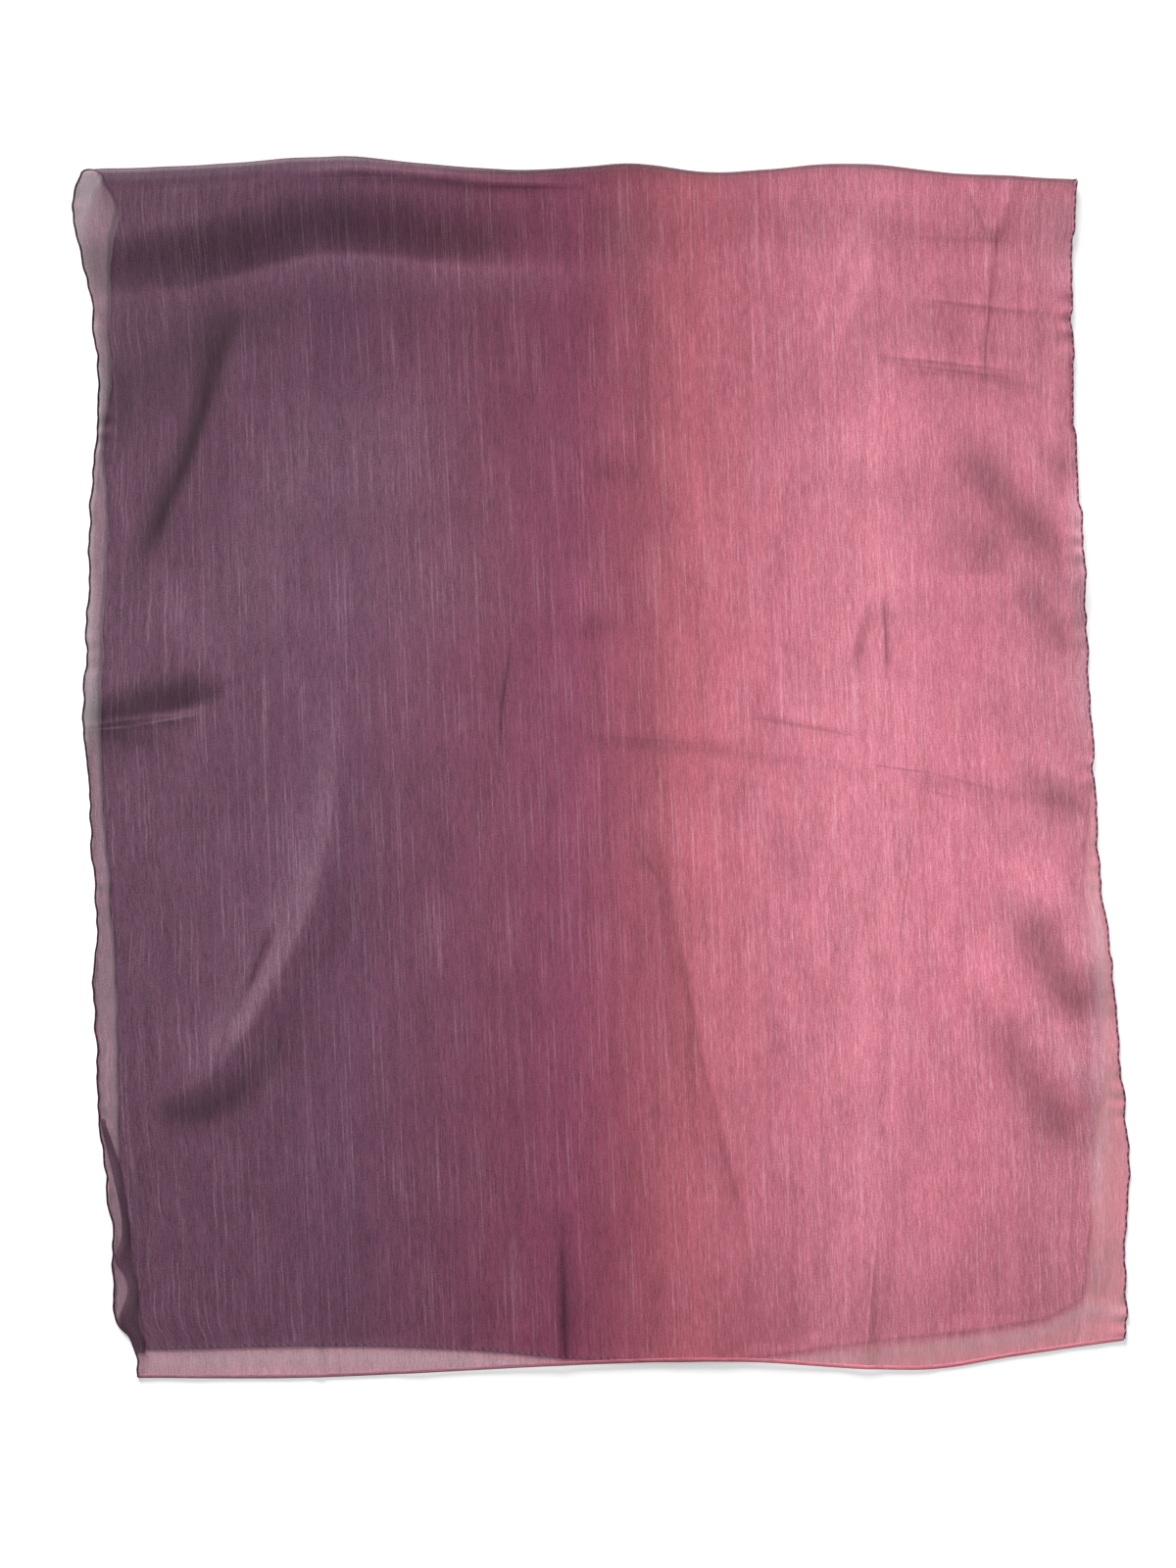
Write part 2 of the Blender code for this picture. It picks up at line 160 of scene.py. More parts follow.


# %% [markdown]
# ## Folds
#
# A cloth simulation would drape the shawl, but not into these folds. So each one is given as a crease:
# a line in plan, how far the cloth rises there (or sinks, below zero), and how far the slope runs to the
# left and to the right of the line, for someone who walks along it. The slope is a soft bell, but for the
# share `crest`, which is sharp on the line, and the share `foot`, which steepens on the right as it goes
# down and ends at once, like the underside of a roll. `fade_in` and `fade_out` are the shares of the line
# over which it comes up and dies away.

# %% The creases of the upper half, in millimetres
Crease = namedtuple("Crease", "rise left right crest foot fade_in fade_out path")
CREASES = {
    "below_the_roll": Crease(2, 14, 40, 0, 0, 0.4, 0.45, (
        (-350, 334), (-300, 349), (-255, 363), (-209, 374), (-162, 373), (-106, 365), (-31, 359),
        (60, 356))),
    "left_pleat": Crease(2.4, 40, 20, 0, 0.85, 0.4, 0.3, (
        (-366, 110), (-358, 152), (-338, 200), (-321, 244), (-307, 290), (-290, 345))),
    "left_pleat_bank": Crease(1.4, 8, 30, 0.2, 0, 0.3, 0.3, (
        (-340, 140), (-322, 189), (-303, 235), (-287, 282), (-268, 335))),
    "lip_slope": Crease(5.5, 90, 30, 0, 0.8, 0.2, 0.22, (
        (-440, 52), (-367, 60), (-330, 68), (-300, 80), (-280, 92))),
    "lip": Crease(2, 3, 9, 0.8, 0, 0.25, 0.25, (
        (-420, 26), (-377, 30), (-340, 34), (-307, 39), (-290, 43))),
    "under_the_lip": Crease(1.8, 20, 16, 0, 0, 0.35, 0.35, ((-400, 26), (-360, 26), (-310, 30))),
    "long_curve_top": Crease(6.2, 24, 90, 0.5, 0, 0.6, 0.55, (
        (-243, -160), (-216, -112), (-200, -60), (-193, -10), (-190, 50), (-193, 110), (-198, 170))),
    "long_curve_bottom": Crease(4, 26, 29, 0.2, 0.1, 0.24, 0.34, (
        (-350, -252), (-316, -243), (-291, -231), (-272, -210), (-256, -185), (-240, -157), (-217, -113),
        (-200, -60), (-192, 0))),
    "long_curve_nick": Crease(-2.6, 5, 5, 0.5, 0, 0.3, 0.3, (
        (-280, -205), (-266, -176), (-254, -148), (-242, -112))),
    "short_stroke": Crease(1, 3, 4, 0.6, 0, 0.3, 0.3, ((-80, 6), (-75, 50), (-73, 104))),
    "middle_line": Crease(0.3, 16, 4, 0.4, 0.2, 0.3, 0.3, (
        (-30, 24), (19, 18), (62, 14), (121, 9), (172, 3), (250, -6))),
    "middle_line_above": Crease(0.6, 10, 3, 0.6, 0, 0.3, 0.3, ((100, 41), (150, 33), (200, 22))),
    "middle_line_right": Crease(1, 24, 10, 0.1, 0.4, 0.35, 0.35, (
        (200, 2), (268, -8), (320, -16), (390, -32))),
    "diagonal": Crease(2.4, 34, 12, 0, 0.7, 0.25, 0.25, (
        (118, -430), (92, -340), (74, -262), (54, -190), (40, -120), (28, -60), (6, -20))),
    "diagonal_bank": Crease(1.2, 12, 45, 0.1, 0, 0.25, 0.25, (
        (136, -400), (112, -312), (90, -224), (70, -142), (56, -70), (44, -20))),
    "little_diagonal": Crease(1, 12, 8, 0.3, 0, 0.35, 0.35, ((155, -90), (138, -54), (132, -4))),
    "long_thin_line": Crease(-1, 6, 5, 0.5, 0, 0.15, 0.15, (
        (196, -440), (207, -325), (212, -241), (223, -129), (236, -18))),
    "end_ridge": Crease(2, 20, 12, 0.1, 0.5, 0.5, 0.5, (
        (190, -520), (200, -400), (208, -330), (212, -270))),
    "end_peak": Crease(0.6, 4, 16, 0.4, 0.3, 0.5, 0.5, (
        (-36, -560), (-33, -440), (-31, -380), (-30, -310))),
    "end_nick": Crease(1.2, 3, 6, 0.7, 0, 0.3, 0.3, ((-211, -500), (-212, -400), (-214, -340))),
    "shoulder": Crease(7, 30, 26, 0, 0.1, 0.5, 0.25, (
        (252, 300), (274, 254), (302, 217), (332, 180), (360, 150), (402, 115))),
    "shoulder_step": Crease(2.2, 30, 28, 0, 0.85, 0.35, 0.35, (
        (245, 172), (270, 172), (300, 170), (330, 166))),
    "shoulder_tail": Crease(2.2, 30, 24, 0, 0.7, 0.4, 0.4, (
        (290, 166), (312, 146), (336, 124), (356, 100), (372, 80))),
    "shoulder_fold": Crease(1.6, 30, 26, 0, 0.3, 0.5, 0.5, (
        (130, 232), (190, 228), (250, 218), (310, 196))),
    "sharp_stroke": Crease(1, 3, 4, 0.5, 0, 0.3, 0.3, ((208, 62), (211, 100), (207, 145))),
    "sharp_stroke_left": Crease(1.4, 7, 7, 0, 0, 0.4, 0.4, ((184, 64), (191, 100), (202, 138))),
    "right_patch": Crease(1.4, 40, 26, 0, 0.2, 0.5, 0.5, ((170, 142), (230, 136), (290, 130), (350, 118))),
    "upper_bend": Crease(8, 26, 26, 0, 0.1, 0.4, 0.4, (
        (310, -52), (326, -98), (343, -131), (361, -156), (380, -172), (400, -182))),
    "lower_bend": Crease(6, 26, 26, 0, 0.1, 0.4, 0.35, (
        (274, -122), (290, -151), (305, -179), (319, -203), (332, -224), (344, -244), (360, -261),
        (385, -272))),
    "corner_star_a": Crease(1.6, 5, 4, 0.7, 0, 0.25, 0.25, ((290, 388), (281, 412), (268, 440))),
    "corner_star_b": Crease(1.4, 5, 4, 0.7, 0, 0.25, 0.25, ((290, 388), (299, 412), (306, 440))),
    "corner_drop": Crease(1.4, 9, 5, 0.5, 0, 0.25, 0.25, ((277, 262), (284, 330), (289, 372), (290, 402))),
    "corner_hollow": Crease(0.8, 30, 18, 0, 0.3, 0.5, 0.5, (
        (170, 416), (230, 410), (284, 400), (330, 398))),
    "corner_bar_a": Crease(0.5, 6, 3, 0.7, 0, 0.25, 0.25, ((220, 347), (259, 344), (300, 340), (345, 338))),
    "corner_bar_b": Crease(1, 8, 3, 0.7, 0, 0.25, 0.25, ((198, 306), (245, 300), (285, 295), (325, 290))),
    "corner_bar_c": Crease(0.6, 3, 3, 0.7, 0, 0.25, 0.25, ((210, 297), (260, 294), (330, 284))),
    "left_bank": Crease(4.2, 30, 60, 0, 0, 0.1, 0.55, (
        (-450, 325), (-390, 332), (-350, 342), (-310, 355), (-260, 366))),
    "fold_line": Crease(1.3, 3, 5, 0.5, 0, 0.3, 0.3, ((-250, 438), (-170, 441), (-80, 434), (0, 434))),
    "soft_fold_above": Crease(1.2, 22, 14, 0, 0.3, 0.5, 0.5, ((-20, 234), (10, 229), (40, 230))),
    "soft_fold_below": Crease(1.4, 24, 16, 0, 0.3, 0.5, 0.5, ((-34, 104), (-6, 114), (22, 122))),
    "fan_line_a": Crease(0.6, 4, 3, 0.6, 0, 0.3, 0.3, ((147, 282), (168, 340), (193, 413))),
    "fan_line_b": Crease(0.5, 4, 3, 0.6, 0, 0.3, 0.3, ((168, 290), (190, 345), (214, 405))),
    "soft_band_above": Crease(0.8, 10, 10, 0, 0, 0.2, 0.5, (
        (204, 450), (199, 380), (192, 300), (190, 220))),
}
print("creases:", len(CREASES))


# %% How high a crease lifts the cloth
CREASE_SPANS = 120
BELL_END = 2.6  # widths from its line, where a crease has died away
BELL_FADE = 0.6  # widths, over which the last of it goes


def smooth_line(path, spans):
    """Points along a smooth curve through the path, evenly spaced, with the path in millimetres."""
    path = np.asarray(path, float) / 1000
    run = np.concatenate([[0], np.cumsum(np.hypot(*np.diff(path, axis=0).T))])
    at = np.linspace(0, run[-1], spans + 1)
    return np.stack([flowing(at, run, path[:, k]) for k in range(path.shape[1])], axis=1)


def crease_height(x, y, crease, rise):
    """With q the distance from the line in widths, the bell is exp(-q^2), the crest exp(-2q) and the foot,
    on the right side, 1 - q^2 down to 0. The mix is scaled by the rise, and fades out at each end."""
    line = smooth_line(crease.path, CREASE_SPANS)
    left, right = crease.left / 1000, crease.right / 1000
    reach = BELL_END * max(left, right)
    low, high = line.min(axis=0) - reach, line.max(axis=0) + reach
    near = (x > low[0]) & (x < high[0]) & (y > low[1]) & (y < high[1])
    start, step = line[:-1], np.diff(line, axis=0)
    off_x, off_y = x[near, None] - start[:, 0], y[near, None] - start[:, 1]
    along = np.clip((off_x * step[:, 0] + off_y * step[:, 1]) / (step**2).sum(axis=1), 0, 1)
    away = np.hypot(off_x - along * step[:, 0], off_y - along * step[:, 1])
    nearest = away.argmin(axis=1)[:, None]
    away, along, off_x, off_y = (
        np.take_along_axis(a, nearest, axis=1)[:, 0] for a in (away, along, off_x, off_y)
    )
    nearest = nearest[:, 0]
    leftwards = step[nearest, 0] * off_y - step[nearest, 1] * off_x > 0
    q = away / np.where(leftwards, left, right)
    bell = (1 - crease.crest - crease.foot) * np.exp(-(q**2))
    foot = np.where(leftwards, np.exp(-(q**2)), np.clip(1 - q**2, 0, 1))
    sharp = crease.crest * np.exp(-2 * q) + crease.foot * foot
    share = (nearest + along) / len(step)
    fade = eased(share / crease.fade_in) * eased((1 - share) / crease.fade_out)
    height = np.zeros_like(x)
    height[near] = rise * fade * (bell + sharp) * eased((BELL_END - q) / BELL_FADE)
    return height


# %% [markdown]
# ## The roll at the fold and the ease of the cloth
#
# The fold isn't pressed: the cloth stands up there as a soft roll, fuller on the plum side, and comes
# down some 50 mm on, at a foot line of its own. Everywhere else chiffon keeps a slight ease, long
# shallow waves that mostly run the long way. They are a sum of sine waves with seeded directions, so
# each run gives the same cloth.

# %% The roll and the ease
ROLL_FOOT = in_metres(
    Station,
    (-400, 344), (-340, 350), (-300, 359), (-255, 371), (-209, 381), (-162, 380), (-106, 374), (-31, 374),
    (100, 380), (400, 372),
)
ROLL_SLOPE = 0.048
ROLL_SOFTNESS = 0.3
ROLL_LEFT_RISE = 0.0092
ROLL_RIGHT_RISE = 0.0020
ROLL_LEFT_END = -0.18
ROLL_RIGHT_START = -0.02
FULL_LEFT, FULL_RIGHT = -0.24, -0.16  # between these the roll is full and round
FADE_LEFT, FADE_RIGHT = 0.12, 0.20  # and past them it softens over these widths
EASE_WAVES = 30
EASE_LENGTHS = (0.03, 0.15)
EASE_SPREAD = 0.35  # of their directions, in radians
EASE_SLOPE = 0.006  # height of a wave for each metre of its length
ease_draw = np.random.default_rng(11)
ease_length = ease_draw.uniform(*EASE_LENGTHS, EASE_WAVES)
ease_angle = ease_draw.normal(0.0, EASE_SPREAD, EASE_WAVES)
ease_phase = ease_draw.uniform(0, 2 * np.pi, EASE_WAVES)
print("waves of ease:", EASE_WAVES, "from", EASE_LENGTHS[0], "to", EASE_LENGTHS[1], "m long")


def ease(x, y):
    """The sum of the waves: each is sin(2 pi d / length + phase), with d measured along its direction."""
    total = np.zeros_like(x)
    for length, angle, phase in zip(ease_length, ease_angle, ease_phase):
        along = x * np.cos(angle) + y * np.sin(angle)
        total += EASE_SLOPE * length * np.sin(2 * np.pi * along / length + phase)
    return total / np.sqrt(EASE_WAVES)


def roll_rise(x):
    """How far the roll stands above the flat cloth, falling from left to right."""
    share = eased((x - ROLL_LEFT_END) / (ROLL_RIGHT_START - ROLL_LEFT_END))
    return ROLL_LEFT_RISE + (ROLL_RIGHT_RISE - ROLL_LEFT_RISE) * share


# %% How high the upper half lies
PUCKER_SPACING = 0.024
PUCKER_RISE = 0.0006
PUCKER_REACH = 0.010
PUCKER_DRIFT = 0.083  # the length over which their spacing changes
PUCKER_WANDER = 3  # radians by which it does
PUCKER_GROUP = 0.190  # the length over which they come and go


def past_under_half(x, y):
    """How far a point lies outside the under half and its hems, and below 0 inside."""
    left = side_at(UNDER_SECTIONS, "left", y) - x
    right = x - side_at(UNDER_SECTIONS, "right", y)
    end = line_at(UNDER_END, x) - y
    return np.maximum(np.maximum(left, right), end)


def upper_height(x, y):
    """Lying height over the under half and down to the surface past it, plus the roll, the ease, the
    creases and the puckers along the hems, and never through what it lies on. The roll rises from its foot
    as 1 - (1 - s)^2 where it is full, and softly at the plum edge and on the rose side. The puckers are
    1 + sin(2 pi y / spacing), with a phase that drifts, and go down inwards as exp(-(d / reach)^2)."""
    lying = OVER_HEM + (ON_SURFACE - OVER_HEM) * eased(past_under_half(x, y) / SINK_WIDTH)
    up_the_roll = np.clip((y - line_at(ROLL_FOOT, x)) / ROLL_SLOPE, 0, 1)
    soft = np.maximum(eased((x - FULL_RIGHT) / FADE_RIGHT), eased((FULL_LEFT - x) / FADE_LEFT))
    soft = ROLL_SOFTNESS + (1 - ROLL_SOFTNESS) * soft
    roll = (1 - soft) * (1 - (1 - up_the_roll) ** 2) + soft * eased(up_the_roll)
    height = lying + roll_rise(x) * roll + ease(x, y)
    for crease in CREASES.values():
        height = height + crease_height(x, y, crease, crease.rise / 1000)
    to_edge = np.minimum(x - side_at(UPPER_SECTIONS, "left", y), side_at(UPPER_SECTIONS, "right", y) - x)
    puckers = np.sin(2 * np.pi * y / PUCKER_SPACING + PUCKER_WANDER * np.sin(2 * np.pi * y / PUCKER_DRIFT))
    come_and_go = 0.5 + 0.5 * np.sin(2 * np.pi * y / PUCKER_GROUP + 1.0 + 2 * np.sign(x))
    height = height + PUCKER_RISE * come_and_go * (1 + puckers) * np.exp(-((to_edge / PUCKER_REACH) ** 2))
    lowest = lying - DIP * eased((-past_under_half(x, y) - 2 * HEM_RADIUS) / SINK_WIDTH)
    return np.maximum(height, lowest) + LAYER / 2


# %% [markdown]
# ## The two halves as sheets
#
# Each half is one grid of points: a share across the cloth and a share along it give the place in plan,
# and the height comes from the functions above. The upper half starts at the surface, goes round the
# bight and runs to the free end, so it is one sheet with the fold in it. A UV map in metres goes with
# the cloth, because the slubs and the crepe of the weave follow the threads and not the room.

# %% Grid to mesh
def as_mesh(name, points, faces, uv=None):
    """A mesh from arrays. uv holds one pair for each point."""
    mesh = bpy.data.meshes.new(name)
    mesh.vertices.add(len(points))
    mesh.vertices.foreach_set("co", points.astype(np.float32).ravel())
    mesh.loops.add(faces.size)
    mesh.loops.foreach_set("vertex_index", faces.astype(np.int32).ravel())
    mesh.polygons.add(len(faces))
    mesh.polygons.foreach_set("loop_start", np.arange(0, faces.size, faces.shape[1], dtype=np.int32))
    mesh.update(calc_edges=True)
    mesh.shade_smooth()
    if uv is not None:
        layer = mesh.uv_layers.new(name="cloth")
        layer.data.foreach_set("uv", uv[faces.ravel()].astype(np.float32).ravel())
    mesh.validate()
    piece = bpy.data.objects.new(name, mesh)
    bpy.context.scene.collection.objects.link(piece)
    print(f"{name}: {len(points)} points, {len(faces)} faces")
    return piece


def grid_faces(columns, rows):
    """Quads over a grid whose columns run to the right and whose rows run down, facing up."""
    corner = np.arange(rows)[:, None] * (columns + 1) + np.arange(columns)
    return np.stack([corner, corner + columns + 1, corner + columns + 2, corner + 1], axis=-1).reshape(-1, 4)


# %% Where the cloth lies in plan
EDGE_REACH = 12  # the power with which the bends of an edge die away inwards
SCALLOPS = ((0.0131, 0.0003), (0.0223, 0.0005), (0.0371, 0.0007), (0.0610, 0.0007))  # spacing and depth
SCALLOP_GROUP = 7.3  # spacings over which they come and go
PHASES = {"left": 0.0, "right": 2.0}


def scallops(y, side):
    """The thread of a rolled hem draws the edge in and out a little: a sum of sines along it, each of
    which comes and goes."""
    phase = PHASES[side]
    return sum(
        depth
        * np.sin(2 * np.pi * y / spacing + phase)
        * np.sin(2 * np.pi * y / (SCALLOP_GROUP * spacing) + 2 * phase)
        for spacing, depth in SCALLOPS
    )


def half_outline(u, v, sections, end_line, top):
    """Share u across and share v from the line `top` to the end, as x and y. Inside, the threads run
    straight from the fold to the end. The edge's own bends are added to them and die away inwards as
    (1 - u)^12 from the left and u^12 from the right."""
    across = end_line[0].x + (end_line[-1].x - end_line[0].x) * u
    bottom = line_at(end_line, across) + END_HEM_DEPTH
    y = top + (bottom - top) * v
    first, last = sections[0], sections[-1]
    straight_left = np.interp(y, (last.y, first.y), (last.left, first.left))
    straight_right = np.interp(y, (last.y, first.y), (last.right, first.right))
    bend_left = side_at(sections, "left", y) + scallops(y, "left") + HEM_RADIUS - straight_left
    bend_right = side_at(sections, "right", y) + scallops(y, "right") - HEM_RADIUS - straight_right
    x = straight_left + (straight_right - straight_left) * u
    return x + bend_left * (1 - u) ** EDGE_REACH + bend_right * u**EDGE_REACH, y


def bight_radius(x):
    """Half of the height of the bight: the lying height and the roll, over two."""
    return (OVER_HEM + roll_rise(x)) / 2


def fold_top(u):
    """The line where the bight starts on the upper half."""
    across = UPPER_SECTIONS[0].left + (UPPER_SECTIONS[0].right - UPPER_SECTIONS[0].left) * u
    return line_at(FOLD_LINE, across) - bight_radius(across) - LAYER / 2


def upper_place(u, v):
    """Points of the upper half at shares u and v, at their lying height."""
    x, y = half_outline(u, v, UPPER_SECTIONS, UPPER_END, fold_top(u))
    return np.stack([x, y, upper_height(x, y)], axis=-1)


def under_place(u, v):
    """Points of the under half at shares u and v, half a layer up."""
    x, y = half_outline(u, v, UNDER_SECTIONS, UNDER_END, fold_top(u))
    return np.stack([x, y, np.full_like(x, LAYER / 2)], axis=-1)


# %% Make the under half
COLUMNS = 274
EDGE_COLUMNS = 36  # close together at either side, where the hems draw the edge in and out
EDGE_SHARE = 0.05
UPPER_ROWS = 345
END_ROWS = 30  # close together at the free end
UNDER_ROWS = 90
BIGHT_ROWS = 12
across_shares = np.interp(
    np.arange(COLUMNS + 1),
    (0, EDGE_COLUMNS, COLUMNS - EDGE_COLUMNS, COLUMNS),
    (0, EDGE_SHARE, 1 - EDGE_SHARE, 1),
)
upper_shares = np.interp(
    np.arange(UPPER_ROWS + 1), (0, UPPER_ROWS - END_ROWS, UPPER_ROWS), (0, 1 - EDGE_SHARE, 1))

u, v = np.meshgrid(across_shares, np.linspace(0, 1, UNDER_ROWS + 1))
under_points = under_place(u, v)
under_uv = np.stack([u * CUT_WIDTH, v * UNDER_LENGTH], axis=-1)
under_cloth = as_mesh(
    "under_cloth",
    under_points.reshape(-1, 3),
    grid_faces(COLUMNS, UNDER_ROWS)[:, ::-1],
    under_uv.reshape(-1, 2),
)

# %% Make the upper half, with the bight as its first rows
u, v = np.meshgrid(across_shares, upper_shares)
upper_points = upper_place(u, v)
turn = np.linspace(-0.5, 0.5, BIGHT_ROWS + 1)[:-1, None] * np.pi
share = (1 + np.sin(turn)) / 2
lower_edge, upper_edge = under_points[0], upper_points[0]
radius = (upper_edge[:, 2] - lower_edge[:, 2]) / 2
bight_points = np.stack(
    [
        lower_edge[:, 0] + (upper_edge[:, 0] - lower_edge[:, 0]) * share,
        upper_edge[:, 1] + radius * np.cos(turn),
        (upper_edge[:, 2] + lower_edge[:, 2]) / 2 + radius * np.sin(turn),
    ],
    axis=-1,
)
upper_points = np.concatenate([bight_points, upper_points])
bight_length = np.pi * radius.mean()
row_length = np.concatenate([
    np.linspace(-bight_length, 0, BIGHT_ROWS + 1)[:-1],
    UPPER_LENGTH * upper_shares,
])
upper_uv = np.stack(np.broadcast_arrays(u[:1] * CUT_WIDTH, -row_length[:, None]), axis=-1)
upper_cloth = as_mesh(
    "upper_cloth",
    upper_points.reshape(-1, 3),
    grid_faces(COLUMNS, UPPER_ROWS + BIGHT_ROWS),
    upper_uv.reshape(-1, 2),
)
print(f"upper half stands {upper_points[..., 2].max() * 1000:.1f} mm high at most")

# %% [markdown]
# ### What lies below, and the painted shine and shade of the satin
#
# Where the upper half reaches past the under one, a single layer lies on the white table. More light
# comes through it, and what comes back up through the dyed threads makes it paler and pinker. Each point
# carries this as two numbers, `alone` for the see-through and `paler` for the colour, so that this light
# from the table is painted into the colour of the single layer.
#
# Satin isn't an even surface either: its long floats shine as they turn towards the light and go dull
# where a fold bends them away, more than the slope alone would do. This shine and shade is painted into
# the colour: a third number says how much, along lines written like the creases: the change of
# brightness, how far it runs to the left and to the right, how it comes and goes, and the path.

# %% Mark the cloth that lies alone
ALONE_EDGE = 0.002
ALONE_LEFT = 0.55  # less see-through on the plum side, which darkens it
# how much painted light from the table shows in a single layer: on the plum side, at the end, on the rose
# side
PALER_LEFT = 0.14
PALER_END = 0.72
PALER_RIGHT = 0.64
ROSE_FROM, ROSE_OVER = -0.10, 0.20  # where the end turns from the plum side's paleness, and over how much


def mark(piece, name, values):
    """One number for each point of the piece."""
    layer = piece.data.attributes.new(name, "FLOAT", "POINT")
    layer.data.foreach_set("value", values.astype(np.float32).ravel())
    print(f"{piece.name}: {name} from {values.min():.2f} to {values.max():.2f}")


x, y = upper_points[..., 0], upper_points[..., 1]
past_band = line_at(UNDER_END, x) - y
past_left = eased((side_at(UNDER_SECTIONS, "left", y) - x) / ALONE_EDGE)
past_right = eased((x - side_at(UNDER_SECTIONS, "right", y)) / ALONE_EDGE)
past_end = eased(past_band / ALONE_EDGE)
over_band = eased((past_band + END_HEM_DEPTH + ALONE_EDGE / 2) / ALONE_EDGE)
towards_rose = eased((x - ROSE_FROM) / ROSE_OVER)
mark(upper_cloth, "alone", np.maximum(np.maximum(ALONE_LEFT * past_left, past_right), over_band))
mark(upper_cloth, "paler", np.maximum(
    np.maximum(PALER_LEFT * past_left, PALER_RIGHT * past_right),
    past_end * (PALER_END + (PALER_RIGHT - PALER_END) * towards_rose),
))
